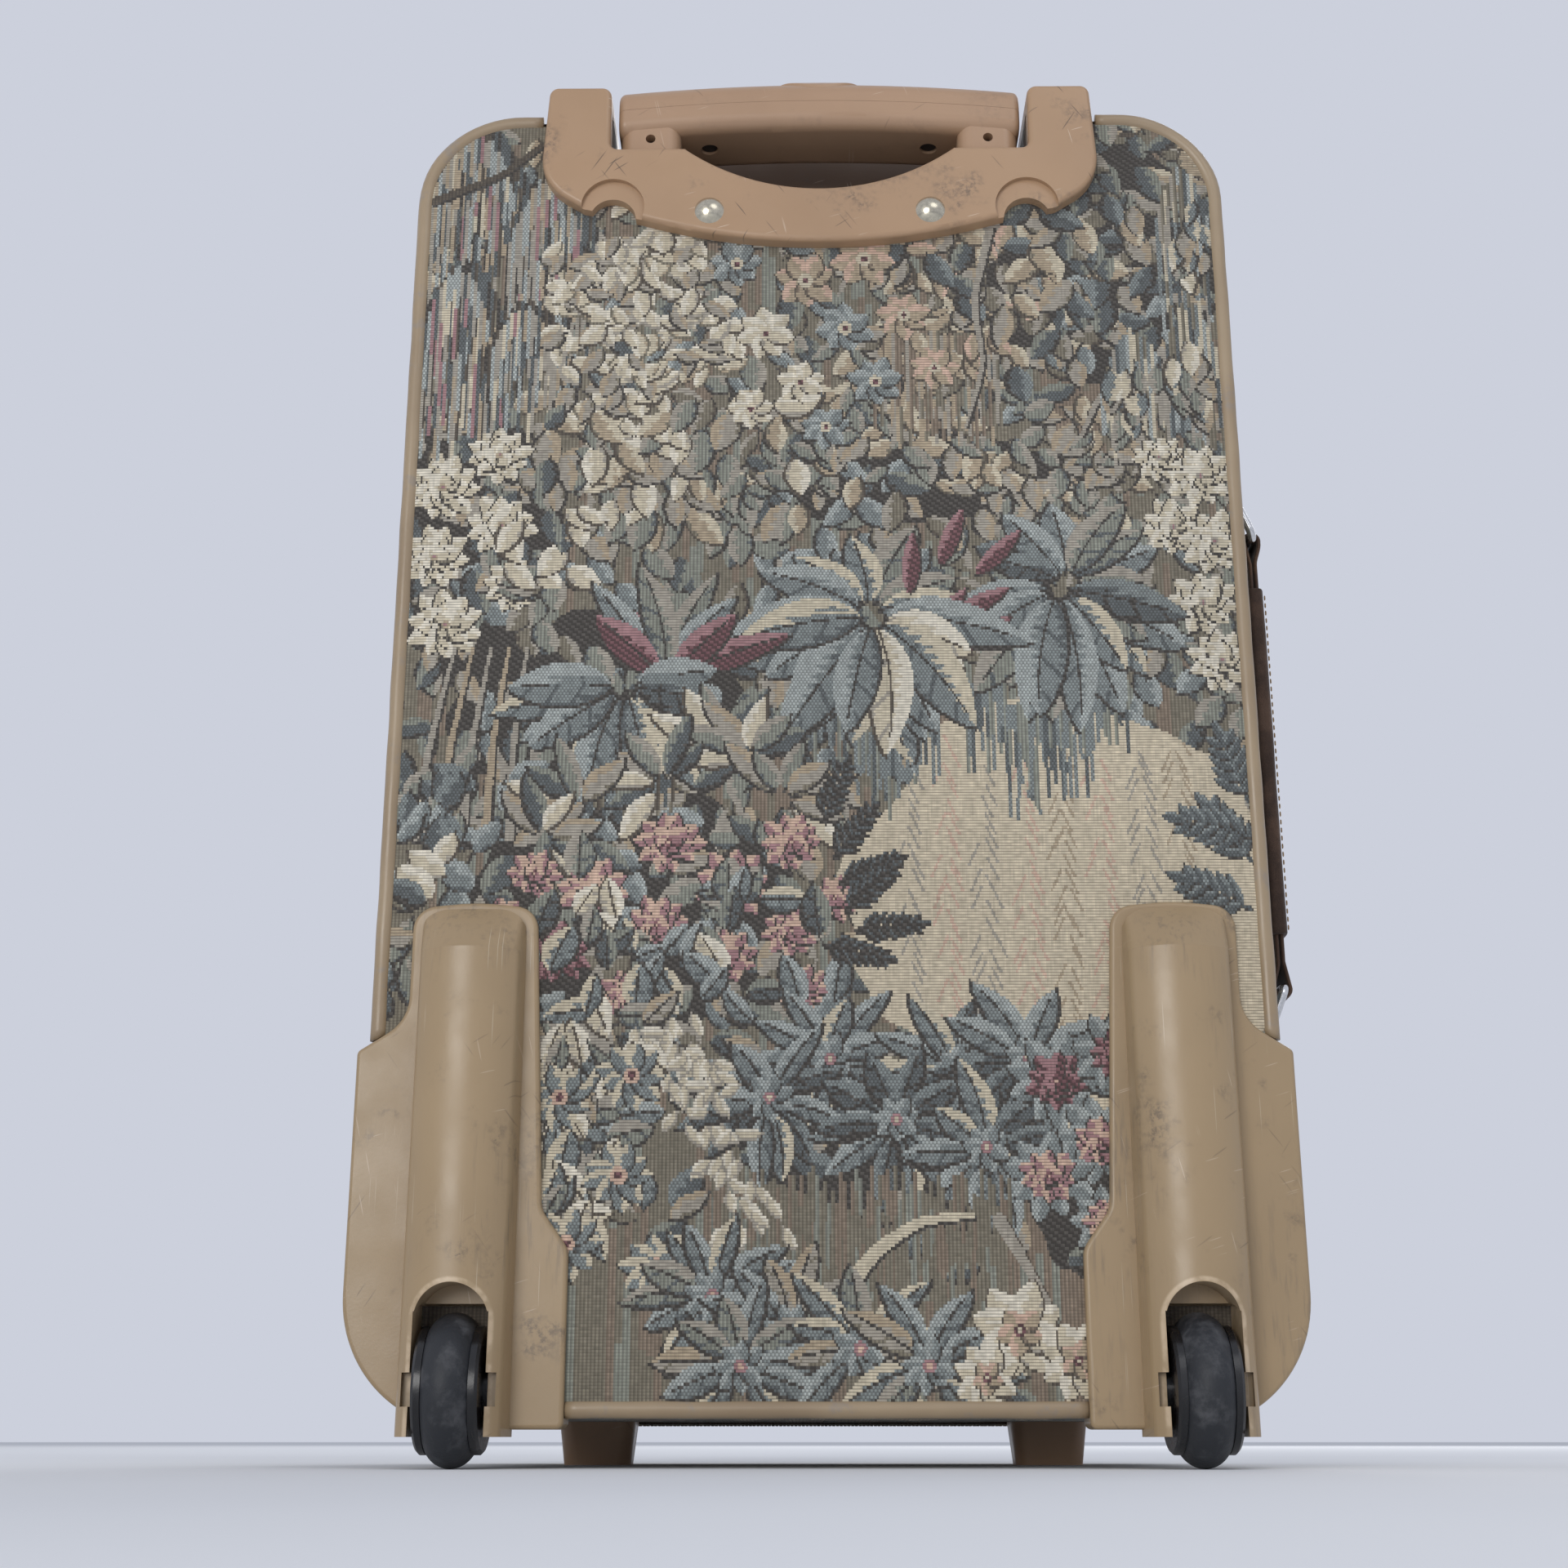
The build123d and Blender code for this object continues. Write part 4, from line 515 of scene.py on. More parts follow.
    def blob(self, centre, size, yarn, seed):
        """Soft-edged area of one yarn."""
        part, dx, dz = self.window(centre[0], centre[1], max(size) * 1.5)
        a = np.arctan2(dz / size[1], dx / size[0])
        wobble = np.sin(3 * a + seed) + 0.6 * np.sin(7 * a + 2 * seed) + 0.4 * np.sin(13 * a + seed)
        part[np.hypot(dx / size[0], dz / size[1]) < 1 + 0.06 * wobble] = yarn

    def foliage(self, centre, size, count, lengths, mixes, droop=-1.2, spread=1.0, veins=0):
        """Mass of leaves, each with its tip over the foot of the next one."""
        rng = self.rng
        spots = rng.normal(0, 0.5, (count, 2)) * np.array(size) + np.array(centre)
        for x, z in spots[np.argsort(-spots[:, 1] * np.sign(droop))]:
            length = rng.uniform(*lengths)
            width = length * rng.uniform(0.46, 0.66)
            angle = droop + rng.normal(0, spread)
            mix = self.pick_leaf(mixes)
            bend = rng.uniform(-0.2, 0.2)
            self.leaf((x, z), angle, length, width, mix, bend, veins, rng.uniform(0.6, 1.5))

    def thicket(self, x_range, z_range, spacing, lengths, mixes, droop=-1.3, spread=0.9):
        """Even cover of leaves over the ground."""
        for z in np.arange(*z_range, spacing[1]):
            for x in np.arange(*x_range, spacing[0]):
                self.foliage((x, z), spacing, 1, lengths, mixes, droop, spread)

    def rosette(self, centre, count, lengths, width, mixes, arc=(-3.4, 0.3), veins=4):
        """Large leaves that arch out from one crown."""
        rng = self.rng
        angles = np.linspace(arc[0], arc[1], count) + rng.uniform(-0.12, 0.12, count)
        for angle in angles[rng.permutation(count)]:
            side = 1 if cos(angle) < 0 else -1
            base = (centre[0] + 5 * cos(angle), centre[1] + 5 * sin(angle))
            size = (rng.uniform(*lengths), width * rng.uniform(0.85, 1.15))
            self.leaf(base, angle, *size, self.pick_leaf(mixes), side * rng.uniform(0.05, 0.3), veins, 1.3)

    def sprig(self, base, angle, length, pairs, size, mix):
        """Small stem with paired leaves and a leaf at its tip."""
        reach = np.array([cos(angle), sin(angle)]) * length
        self.stem([base, np.array(base) + reach], 1.6, LEAVES[mix][::2])
        for share in (np.arange(pairs) + 0.6) / pairs:
            for side in (-1, 1):
                spot = np.array(base) + share * reach
                leaf_length = size * (1.15 - 0.5 * share)
                self.leaf(spot, angle + side * 0.75, leaf_length, size * 0.36, mix, line=0.3)
        self.leaf(np.array(base) + reach, angle, size * 0.8, size * 0.36, mix, line=0.3)

    def willow(self, x, z_range, yarn, over):
        """Faint hanging spray: pairs of slanting dashes down a line, on one yarn's area."""
        rng = self.rng
        for z in np.arange(*z_range, 6.0):
            for side in (-1, 1)[rng.integers(2):]:
                part, dx, dz = self.window(x + side * 3 + rng.normal(0, 0.8), z + rng.normal(0, 1), 8)
                part[(np.abs(dx * side + 0.45 * dz) < 0.5) & (np.abs(dz) < 4.5) & (part == over)] = yarn


def ground(loom):
    """Mid-toned ground in fine uneven upright streaks."""
    rows, columns = loom.chart.shape
    for column in range(0, columns, 4):
        row = 0
        while row < rows:
            run = int(loom.rng.integers(10, 60))
            loom.chart[row:row + run, column:column + 4] = loom.pick([OLIVE] * 4 + [BRONZE] * 2 + [SAGE])
            row += run


def undergrowth(loom):
    """Dark hollows, then leaves behind everything."""
    for centre, size in (
        ((-138, 346), (34, 56)), ((112, 470), (54, 56)), ((-84, 276), (58, 40)), ((34, 374), (70, 20)),
        ((-70, 200), (60, 44)), ((30, 112), (56, 30)), ((100, 100), (30, 40)),
    ):
        loom.blob(centre, size, CHARCOAL, centre[0])
    for heights, spacing, lengths, mixes, droop, spread in (
        ((376, 545), (12.5, 10.5), (12, 18), "olive stone warm sage sage_dim teal", -1.3, 0.9),
        ((240, 376), (13, 11), (13, 19), "sage olive stone teal sage_dim", -1.3, 0.9),
        ((124, 240), (13, 11), (13, 20), "sage teal olive stone sage_dim", 1.0, 1.3),
        ((20, 124), (30, 22), (12, 18), "olive sage_dim teal_dim stone", 1.2, 1.0),
    ):
        loom.thicket((-165, 165), heights, spacing, lengths, mixes, droop, spread)


def warm_trees(loom):
    """Sage bushes, a bronze bank and a warm tree at the right."""
    for spot in ((-10, 385), (28, 392), (66, 382), (98, 372), (-38, 372), (120, 392)):
        loom.foliage(spot, (24, 24), 24, (10, 15), "sage stone sage warm")
    loom.streaks((20, 72), 440, 386, 26, [BRONZE, OLIVE, TAN, BRONZE, STONE])
    loom.foliage((58, 456), (50, 34), 70, (10, 15), "warm peach olive stone")
    loom.foliage((112, 478), (46, 50), 80, (13, 19), "warm stone olive sage_dim teal_dim sage_dim")
    loom.stem([(150, 420), (128, 424), (112, 410), (104, 392)], 4.0, (CHARCOAL, STONE))
    loom.stem([(70, 486), (62, 452), (66, 424), (58, 396)], 3.4, (CHARCOAL, STONE))


def weeping_trees(loom):
    """Weeping trees at both upper corners."""
    hair = [CREAM, STONE, MIST, STONE, ROSE, STONE, SLATE, MIST, TAN]
    for left, right, top, foot in (
        (-162, -126, 534, 440), (-128, -98, 512, 402), (-162, -134, 470, 366), (-136, -106, 452, 380),
    ):
        loom.streaks((left - 1, right + 6), top + 3, foot + 24, 30, [CHARCOAL, SLATE, UMBER], 26)
        loom.streaks((left, right), top, foot, 60, hair, 30)
    for left, right, top, foot in ((138, 160, 516, 430), (112, 140, 440, 372), (138, 160, 452, 384)):
        loom.streaks((left, right), top, foot, 36, [MIST, SLATE, STONE, OLIVE, CREAM, BLUE], 24)
    for spot in ((150, 476), (126, 410), (150, 420)):
        loom.foliage(spot, (10, 24), 14, (10, 15), "stone teal_lit cream sage", -1.57, 0.25)
    loom.stem([(-160, 500), (-132, 512), (-112, 530), (-92, 532)], 3.5, (CHARCOAL, UMBER))


def pale_tree(loom):
    """Tree in pale leaf and flower."""
    for spot in (
        (-84, 404), (-48, 432), (-70, 424), (-92, 440), (-62, 456), (-100, 462), (-84, 474), (-54, 482),
    ):
        loom.foliage(spot, (17, 17), 24, (9, 13), "cream stone blossom catkin", -1.3, 1.2)
    loom.foliage((-66, 384), (46, 26), 46, (13, 19), "cream stone sage warm", -1.4, 0.8)


def upper_flowers(loom):
    """Peach, cream and blue flowers in the upper middle."""
    kinds = ("peach", "cream", "teal")
    for x, z, r, kind in (
        (-6, 462, 12, 0), (18, 472, 12, 0), (-22, 438, 11, 1), (10, 440, 11, 2), (34, 446, 10, 0),
        (-8, 416, 9, 1), (22, 416, 10, 2), (46, 422, 9, 0), (2, 396, 9, 2), (-28, 404, 9, 1),
        (-34, 470, 10, 2),
    ):
        loom.petals((x, z), r * 1.1, 7, r * 0.75, kinds[kind], (CREAM, WINE))


def peonies(loom):
    """Cream peonies at the left and right edges, with stems at the left."""
    left = (
        (-150, 370, 14), (-128, 384, 12), (-152, 340, 13), (-126, 354, 13), (-146, 312, 14), (-120, 328, 11),
    )
    right = ((150, 374, 13), (138, 352, 12), (154, 346, 13), (148, 320, 13), (134, 382, 10), (154, 296, 12))
    for flowers, heart in ((left, (TAN, ROSE)), (right, (STONE, ROSE))):
        for x, z, r in flowers:
            loom.ruffle((x, z), r, "peony", heart)
    loom.foliage((-108, 350), (18, 36), 26, (11, 17), "sage sage_dim stone cream")
    for k in range(5):
        fill = TAN if k % 2 else STONE
        loom.stem([(-154 + 9 * k, 226), (-150 + 8 * k, 262), (-142 + 7 * k, 302)], 3.6, (CHARCOAL, fill))
    loom.foliage((-146, 232), (18, 26), 26, (12, 18), "teal sage cream teal_dim", 1.2, 0.8)


def glade(loom):
    """Glade of pale light."""
    for centre, size, seed in (
        ((92, 228), (70, 52), 2.0), ((58, 196), (52, 54), 0.4), ((118, 180), (50, 60), 1.1),
        ((76, 150), (44, 40), 0.8),
    ):
        loom.blob(centre, size, GLADE, seed)
    for x, yarn in (
        (32, STONE), (46, PEACH), (60, STONE), (76, PEACH), (90, TAN), (104, PEACH), (120, STONE), (134, TAN),
    ):
        loom.willow(x, (136, 254 + 12 * sin(x)), yarn, GLADE)


def drooping_leaves(loom):
    """Large drooping leaves over the glade."""
    for x, foot, top in (
        (4, 246, 280), (20, 232, 270), (36, 246, 276), (62, 250, 290), (78, 232, 280), (94, 240, 284),
        (108, 258, 288),
    ):
        loom.streaks((x - 8, x + 8), top, foot, 26, [SLATE, BLUE, SAGE, BLUE])
    loom.rosette((96, 328), 8, (20, 36), 15, "teal_dim teal sage", (0.2, 2.8))
    loom.rosette((18, 316), 9, (22, 42), 15, "teal_lit teal sage", (0.3, 2.8))
    loom.rosette((92, 326), 18, (32, 54), 18, "teal teal teal_dim teal_lit sage", (-3.0, -0.1))
    for x, z, angle in (
        (40, 306, 0.9), (50, 314, 0.5), (34, 324, 1.5), (60, 332, 0.8), (46, 336, 1.2), (52, 300, 0.6),
    ):
        loom.leaf((x, z), angle, 26, 7, "wine")
    loom.rosette((20, 314), 20, (34, 58), 19, "teal_lit teal teal_lit cream teal teal", (-3.2, 0.1))
    loom.rosette((-60, 288), 8, (30, 46), 12, "teal wine sage", (0.5, 2.4))
    loom.rosette((-76, 286), 17, (28, 48), 16, "teal teal_dim teal_lit teal", (-3.2, 0.2))
    loom.streaks((-116, -56), 252, 234, 16, [SLATE, UMBER, BLUE, OLIVE])


def roses(loom):
    """Cream sprays and roses at the left, and sprigs at both sides of the glade."""
    for x, z, a in (
        (-40, 260, 1.1), (-28, 256, 1.9), (-60, 246, 2.4), (-16, 240, 0.9), (-92, 236, 2.6), (-106, 224, 0.8),
    ):
        loom.rosette((x, z), 7, (16, 26), 8.5, "cream stone sage sage_dim", (a - 1.4, a + 1.4), 0)
    for x, z, r in (
        (-86, 206, 12), (-58, 224, 12), (-34, 208, 13), (-62, 192, 11), (-12, 224, 11), (-98, 182, 11),
        (-36, 180, 11), (-72, 166, 10), (-12, 190, 10), (-108, 212, 9), (4, 202, 9), (-120, 194, 9),
        (-8, 168, 9),
    ):
        loom.ruffle((x, z), r, loom.pick_leaf("rose rose wine"), (WINE, PEACH))
    loom.foliage((-62, 178), (66, 36), 48, (13, 20), "cream teal sage teal_lit sage_dim", 1.2, 1.2, 3)
    for x, z, a in (
        (0, 232, 1.2), (6, 208, 0.4), (4, 218, 0.9), (12, 190, 0.1), (0, 184, -0.2), (8, 198, 0.7),
    ):
        loom.sprig((x, z), a, 22, 6, 8, "dark")
    for x, z, a in ((160, 216, 2.2), (158, 198, 2.7), (160, 240, 1.9), (160, 226, 2.9)):
        loom.sprig((x, z), a, 24, 5, 12, "teal_dim")


def lilies(loom):
    """Blue lilies below the glade and a rose bush at the right."""
    for x, z, n in ((2, 140, 13), (48, 136, 13), (-20, 126, 11), (74, 140, 11), (26, 118, 11), (58, 108, 10)):
        loom.rosette((x, z), n, (18, 30), 10, "teal teal_lit teal_dim teal teal_dim", (-3.2, 3.1), 3)
        loom.petals((x, z + 2), 9, 7, 6, "teal", (ROSE, CREAM))
    for x, z, r in ((84, 134, 13), (99, 112, 12), (80, 100, 12), (106, 144, 11), (100, 84, 10)):
        loom.petals((x, z), r * 1.4, 9, r * 0.7, "teal", (ROSE, WINE))
        loom.ruffle((x, z), r * 0.8, loom.pick_leaf("rose wine"), (WINE, PEACH))


def bank(loom):
    """Pale weeping spray, grasses and flowers along the foot."""
    rng = loom.rng
    loom.streaks((-40, 66), 104, 56, 14, [OLIVE, OLIVE, BRONZE, OLIVE, SAGE], up=True)
    for share in np.linspace(0, 1, 90):
        spot = (-64 + 40 * share + rng.normal(0, 6), 152 - 80 * share**2 + rng.normal(0, 5))
        loom.leaf(spot, -1.3 + rng.normal(0, 0.8), rng.uniform(6, 9), 3.6, "spray")
    loom.foliage((-92, 112), (28, 44), 50, (13, 19), "teal teal_lit sage cream stone", 0.8, 1.4, 3)
    for spot in ((-96, 128), (-74, 100), (-92, 76), (-60, 68), (-70, 136)):
        loom.petals(spot, 13, 9, 7, "teal_lit", (PEACH, WINE))
    loom.stem([(4, 56), (18, 74), (34, 84), (52, 86)], 6.0, (CHARCOAL, CREAM))
    loom.stem([(62, 84), (70, 70), (78, 56)], 5.0, (UMBER, STONE))
    for x, z, n in ((-40, 58, 12), (-12, 46, 12), (-30, 34, 10), (12, 40, 9), (36, 34, 8)):
        loom.rosette((x, z), n, (18, 30), 9.5, "teal teal_lit sage stone", (-0.8, 3.9), 3)
        loom.petals((x, z), 10, 8, 5.5, "teal", (ROSE, PEACH))
    for x, z, r in ((68, 46, 15), (88, 36, 12), (56, 30, 10)):
        loom.petals((x, z), r * 1.2, 8, r * 0.75, "cream", (PEACH, WINE))
        loom.petals((x, z), r * 0.6, 5, r * 0.45, "peach", (WINE, CREAM))


def back_chart():
    """Leafy landscape for the back panel, in the case's own upright sizes."""
    loom = Loom(PANEL_X, PANEL_Z, (0.7, 1.1), 5)
    for layer in (
        ground, undergrowth, warm_trees, weeping_trees, pale_tree, upper_flowers, peonies, glade,
        drooping_leaves, roses, lilies, bank,
    ):
        layer(loom)
    return loom


# Cloth woven from the charts


def mesh_piece(name, points, faces, material, smooth=True):
    """New mesh object from points in metres and faces of point numbers."""
    mesh = bpy.data.meshes.new(name)
    faces = np.asarray(faces)
    mesh.vertices.add(len(points))
    mesh.vertices.foreach_set("co", np.asarray(points, np.float32).ravel())
    mesh.loops.add(faces.size)
    mesh.loops.foreach_set("vertex_index", faces.ravel().astype(np.int32))
    mesh.polygons.add(len(faces))
    mesh.polygons.foreach_set("loop_start", np.arange(0, faces.size, faces.shape[1], dtype=np.int32))
    mesh.polygons.foreach_set("use_smooth", np.full(len(faces), smooth))
    mesh.update(calc_edges=True)
    mesh.materials.append(material)
    piece = bpy.data.objects.new(name, mesh)
    bpy.context.scene.collection.objects.link(piece)
    return piece


def grid_faces(number):
    """Four-cornered faces between neighbours in a grid of point numbers."""
    corners = [number[:-1, :-1], number[:-1, 1:], number[1:, 1:], number[1:, :-1]]
    return np.stack(corners, -1).reshape(-1, 4)


def grid_piece(name, points, material, body, wrap_rows=False, wrap_columns=False, holes=None):
    """Smooth surface through a grid of points, closed where asked and open at the points in holes."""
    rows, columns = points.shape[:2]
    number = np.arange(rows * columns).reshape(rows, columns)
    if wrap_rows:
        number = np.concatenate([number, number[:1]], 0)
    if wrap_columns:
        number = np.concatenate([number, number[:, :1]], 1)
    faces = grid_faces(number)
    if holes is not None:
        faces = faces[~holes.ravel()[faces].any(axis=1)]
    piece = mesh_piece(name, points.reshape(-1, 3), faces, material)
    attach(piece, body)
    return piece


def weave(name, loom, keep, place, longest, body):
    """Cloth from a chart: each run of one yarn in a weft row is a four-cornered strip."""
    chart = np.where(keep, loom.chart, BARE)
    rows, cols = chart.shape
    starts = np.ones((rows, cols), bool)
    starts[:, 1:] = chart[:, 1:] != chart[:, :-1]
    starts[:, ::longest] = True
    row, first = np.nonzero(starts)
    last = np.append(first[1:], 0)
    last[np.append(row[1:] != row[:-1], True)] = cols
    yarn = chart[row, first]
    real = yarn != BARE
    row, first, last, yarn = row[real], first[real], last[real], yarn[real]
    u = np.stack([first, last, last, first], 1).astype(float)
    v = np.stack([row, row, row + 1, row + 1], 1).astype(float)
    points = place(loom.x0 + u * loom.cell[0], loom.z0 + v * loom.cell[1]).reshape(-1, 3)
    piece = mesh_piece(name, points, np.arange(len(points)).reshape(-1, 4), CLOTH)
    mesh = piece.data
    colour = mesh.attributes.new("yarn", "FLOAT_COLOR", "CORNER")
    colour.data.foreach_set("color", np.repeat(YARN_TABLE[yarn], 4, axis=0).astype(np.float32).ravel())
    thread = mesh.attributes.new("thread", "FLOAT2", "CORNER")
    thread.data.foreach_set("vector", np.stack([u, v], -1).astype(np.float32).ravel())
    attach(piece, body)
    return piece


def inward(x, z, half, low, high, radius):
    """Distance inwards from a rounded rectangle's edge."""
    dx = np.abs(x) - (half - radius)
    dz = np.abs(z - (low + high) / 2) - ((high - low) / 2 - radius)
    outside = np.hypot(np.maximum(dx, 0), np.maximum(dz, 0)) + np.minimum(np.maximum(dx, dz), 0)
    return radius - outside


def from_edge(x, z):
    """Distance inwards from the case's outline."""
    return inward(x, z, CASE_HALF, CASE_FLOOR, CASE_TOP, CORNER)


def swell(x, z, size):
    """Slow unevenness of a hand-stretched cloth."""
    return size * (np.sin(x / 23.0 + 0.6) * np.sin(z / 31.0) + 0.6 * np.sin(x / 11.0 + z / 17.0))


def panel_cloth(name, loom, keep, face, longest, body):
    """Woven face of a flat panel, pulled down at the piping: face gives its depth."""
    x, z = loom.x[None, :], loom.z[:, None]

    def place(x, z):
        edge = np.clip((from_edge(x, z) - CLOTH_INSET) / CLOTH_ROLL, 0, 1)
        return to_frame(x, face(x, z, edge), z)

    piece = weave(name, loom, keep & (from_edge(x, z) > CLOTH_INSET), place, longest, body)


def back_cloth():
    """Woven face of the back panel, slightly full in the middle, with openings for the cup and the wheels."""
    slot_half, slot_foot = 87.5, 520.0
    scoop_half, scoop_top, scoop_depth = 57.0, 521.0, 20.0
    well_half, well_top = 16.0, 47.0
    housing_half, housing_top = 19.0, 190.0
    bezel_half, bezel_foot = 80.0, 496.0
    loom = back_chart()
    x, z = loom.x[None, :], loom.z[:, None]
    off_wheel = np.abs(np.abs(x) - WHEEL_X)
    slot = (np.abs(x) < slot_half) & (z > slot_foot)
    slot |= (np.hypot(np.abs(x) / scoop_half, (z - scoop_top) / scoop_depth) < 1) & (z <= scoop_top)
    wells = (off_wheel < well_half) & (z < well_top)
    hidden = (off_wheel < housing_half) & (z < housing_top) | (np.abs(x) < bezel_half) & (z > bezel_foot)
    loom.chart[hidden] = UMBER

    def face(x, z, edge):
        return -0.15 - CLOTH_LOFT * np.sqrt(edge) - swell(x, z, 0.12) * edge

    panel_cloth("back_cloth", loom, ~slot & ~wells, face, 24, "case")


def outline_track(inset):
    """Way round the case at one inset: length along it, x, z and the outward direction."""
    radius = CORNER - inset
    flat, side = CASE_HALF - CORNER, (CASE_TOP - CASE_FLOOR) / 2 - CORNER
    points, faces = [(0.0, CASE_MID - side - radius)], [(0.0, -1.0)]
    for k, (cx, cz) in enumerate(((flat, -side), (flat, side), (-flat, side), (-flat, -side))):
        for angle in np.radians(np.linspace(90 * k - 90, 90 * k, 19)):
            faces.append((cos(angle), sin(angle)))
            points.append((cx + radius * faces[-1][0], CASE_MID + cz + radius * faces[-1][1]))
    points, faces = np.array(points + points[:1]), np.array(faces + faces[:1])
    length = np.append(0, np.cumsum(np.hypot(*np.diff(points, axis=0).T)))
    return length, points[:, 0], points[:, 1], faces[:, 0], faces[:, 1]


def on_track(track, u):
    """Point and outward direction at a length along a track."""
    return [np.interp(u, track[0], part) for part in track[1:]]


def fullness(y, z):
    """How far the case's sides stand out."""
    deep = np.clip(1 - ((y - (WALL_REAR + BULGE_FRONT) / 2) / ((BULGE_FRONT - WALL_REAR) / 2)) ** 2, 0, 1)
    share = np.clip(1 - np.abs(z - CASE_MID) / ((CASE_TOP - CASE_FLOOR) / 2 - CORNER), 0, 1)
    return SIDE_BULGE * deep * share * share * (3 - 2 * share)


def wall_chart(length, depth, seed):
    """Leafy cover for the walls, unrolled."""
    loom = Loom(depth, (0.0, length), (1.3, 1.35), seed)
    rng = loom.rng
    ground(loom)
    cover = "sage teal stone olive warm sage_dim"
    loom.thicket((depth[0] - 8, depth[1] + 8), (-8, length + 8), (15, 13), (16, 25), cover, 1.0, 1.6)
    for spot in np.arange(20, length, 46):
        centre = (rng.uniform(depth[0] + 6, depth[1] - 6), spot + rng.uniform(-12, 12))
        if rng.random() < 0.5:
            loom.rosette(centre, 11, (20, 34), 13, "teal teal_lit sage", (0.0, 5.8), 3)
        loom.ruffle(centre, rng.uniform(9, 13), loom.pick_leaf("cream rose peach"), (TAN, WINE))
    return loom


def wall_openings(track, u, y):
    """Openings in the case's wall for the handle cup and the wheels."""
    cup_half, cup_depth = 88.8, 47.2
    wheel_half, wheel_depth = 15.6, 25.6
    near = 20.0
    x, z, _, _ = on_track(track, u)
    cup = (z > CASE_TOP - near) & (np.abs(x) < cup_half) & (y < cup_depth)
    return cup | (z < CASE_FLOOR + near) & (np.abs(np.abs(x) - WHEEL_X) < wheel_half) & (y < wheel_depth)


def wall_lining(name, depth, body):
    """Lining of a wall, turned over its seam edge."""
    track = outline_track(LINING_INSET)
    u = np.linspace(0, track[0][-1], 321)[:-1]
    x, z, nx, nz = on_track(track, u)
    seam = depth[1]
    rows = [(0.5, seam), (2.0, seam + 0.05), (3.4, seam)]
    rows += [(LINING_INSET, y) for y in np.linspace(seam - 2, depth[0], 40)]
    points = []
    for inset, y in rows:
        out = fullness(y, z) * np.abs(nx) + LINING_INSET - inset
        points.append(to_frame(x + nx * out, y, z + nz * out))
    holes = wall_openings(track, u[None, :], np.array([y for _, y in rows])[:, None])
    piece = grid_piece(name, np.array(points), LINING, body, wrap_columns=True, holes=holes)
    return piece


def wall_cloth(name, node, depth, body, seed):
    """Woven wall round the case or the lid, with its lining."""
    track = outline_track(WALL_INSET)
    loom = wall_chart(track[0][-1], depth, seed)
    middle, reach = (depth[0] + depth[1]) / 2, (depth[1] - depth[0]) / 2

    def place(y, u):
        x, z, nx, nz = on_track(track, u)
        loose = np.clip((1 - np.abs(y - middle) / reach) * 2.5, 0, 1)
        out = fullness(y, z) * np.abs(nx) + loose * (0.35 + swell(u, 2 * y, 0.22))
        return to_frame(x + nx * out, y, z + nz * out)

    keep = ~wall_openings(track, loom.z[:, None], loom.x[None, :])
    piece = weave(name, loom, keep, place, 12, body)
    lining = wall_lining(name + "_lining", depth, body)
    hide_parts(node)


def front_cloth():
    """Woven face of the lid's front panel, flat under the pocket."""
    loom = Loom(PANEL_X, PANEL_Z, (1.2, 1.3), 17)
    ground(loom)
    loom.thicket((-165, 165), (20, 540), (14, 12), (14, 22), "sage teal stone olive warm")
    for x, z, mix in (
        (-120, 480, "teal"), (-40, 500, "teal_lit"), (50, 486, "teal"), (120, 500, "sage"),
    ):
        loom.rosette((x, z), 13, (24, 40), 14, mix + " teal sage stone")
        loom.ruffle((x + 6, z + 6), 13, "cream", (TAN, WINE))

    def face(x, z, edge):
        return LID_FRONT + 0.1 + CLOTH_LOFT * np.sqrt(edge) * (inward(x, z, *POCKET_BED) < -2)

    panel_cloth("front_cloth", loom, True, face, 12, "lid")


def pocket():
    """Padded front pocket: crowned cloth that rolls down to a tight seam all round."""
    half, low, high, _ = POCKET
    seat, crown, roll = LID_FRONT + 0.3, 12.7, 17.0
    loom = Loom((-half, half), (low, high), (1.2, 1.25), 29)
    ground(loom)
    loom.thicket((-145, 145), (50, 428), (14, 12), (14, 22), "sage teal stone warm olive")
    for x, z, mix in ((-80, 300, "teal"), (40, 310, "teal_lit"), (-20, 220, "teal_lit"), (90, 220, "sage")):
        loom.rosette((x, z), 15, (30, 52), 17, mix + " teal teal_dim sage")
    rng = loom.rng
    for _ in range(22):
        spot = (rng.uniform(-125, 125), rng.uniform(65, 400))
        loom.ruffle(spot, rng.uniform(9, 14), loom.pick_leaf("cream rose"), (TAN, WINE))

    def place(x, z):
        gap = inward(x, z, *POCKET)
        rise = np.clip(gap / roll, 0, 1)
        tug = 0.8 * np.exp(-gap / 10.0) * (np.sin(x / 6.5) * np.sin(z / 6.5))
        return to_frame(x, seat + crown * np.sqrt(1 - (1 - rise) ** 2.2) + tug * rise * (1 - rise) * 2, z)

    keep = inward(loom.x[None, :], loom.z[:, None], *POCKET) > 0.2
    piece = weave("front_pocket_cloth", loom, keep, place, 8, "lid")
    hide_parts("front_pocket")


# Piping, side handle and zips


def circle(count):
    """Even angles round a circle."""
    return np.linspace(0, 2 * pi, count + 1)[:-1]


def squared(values, power):
    """Sines or cosines pushed out towards a square."""
    return np.sign(values) * np.abs(values) ** power


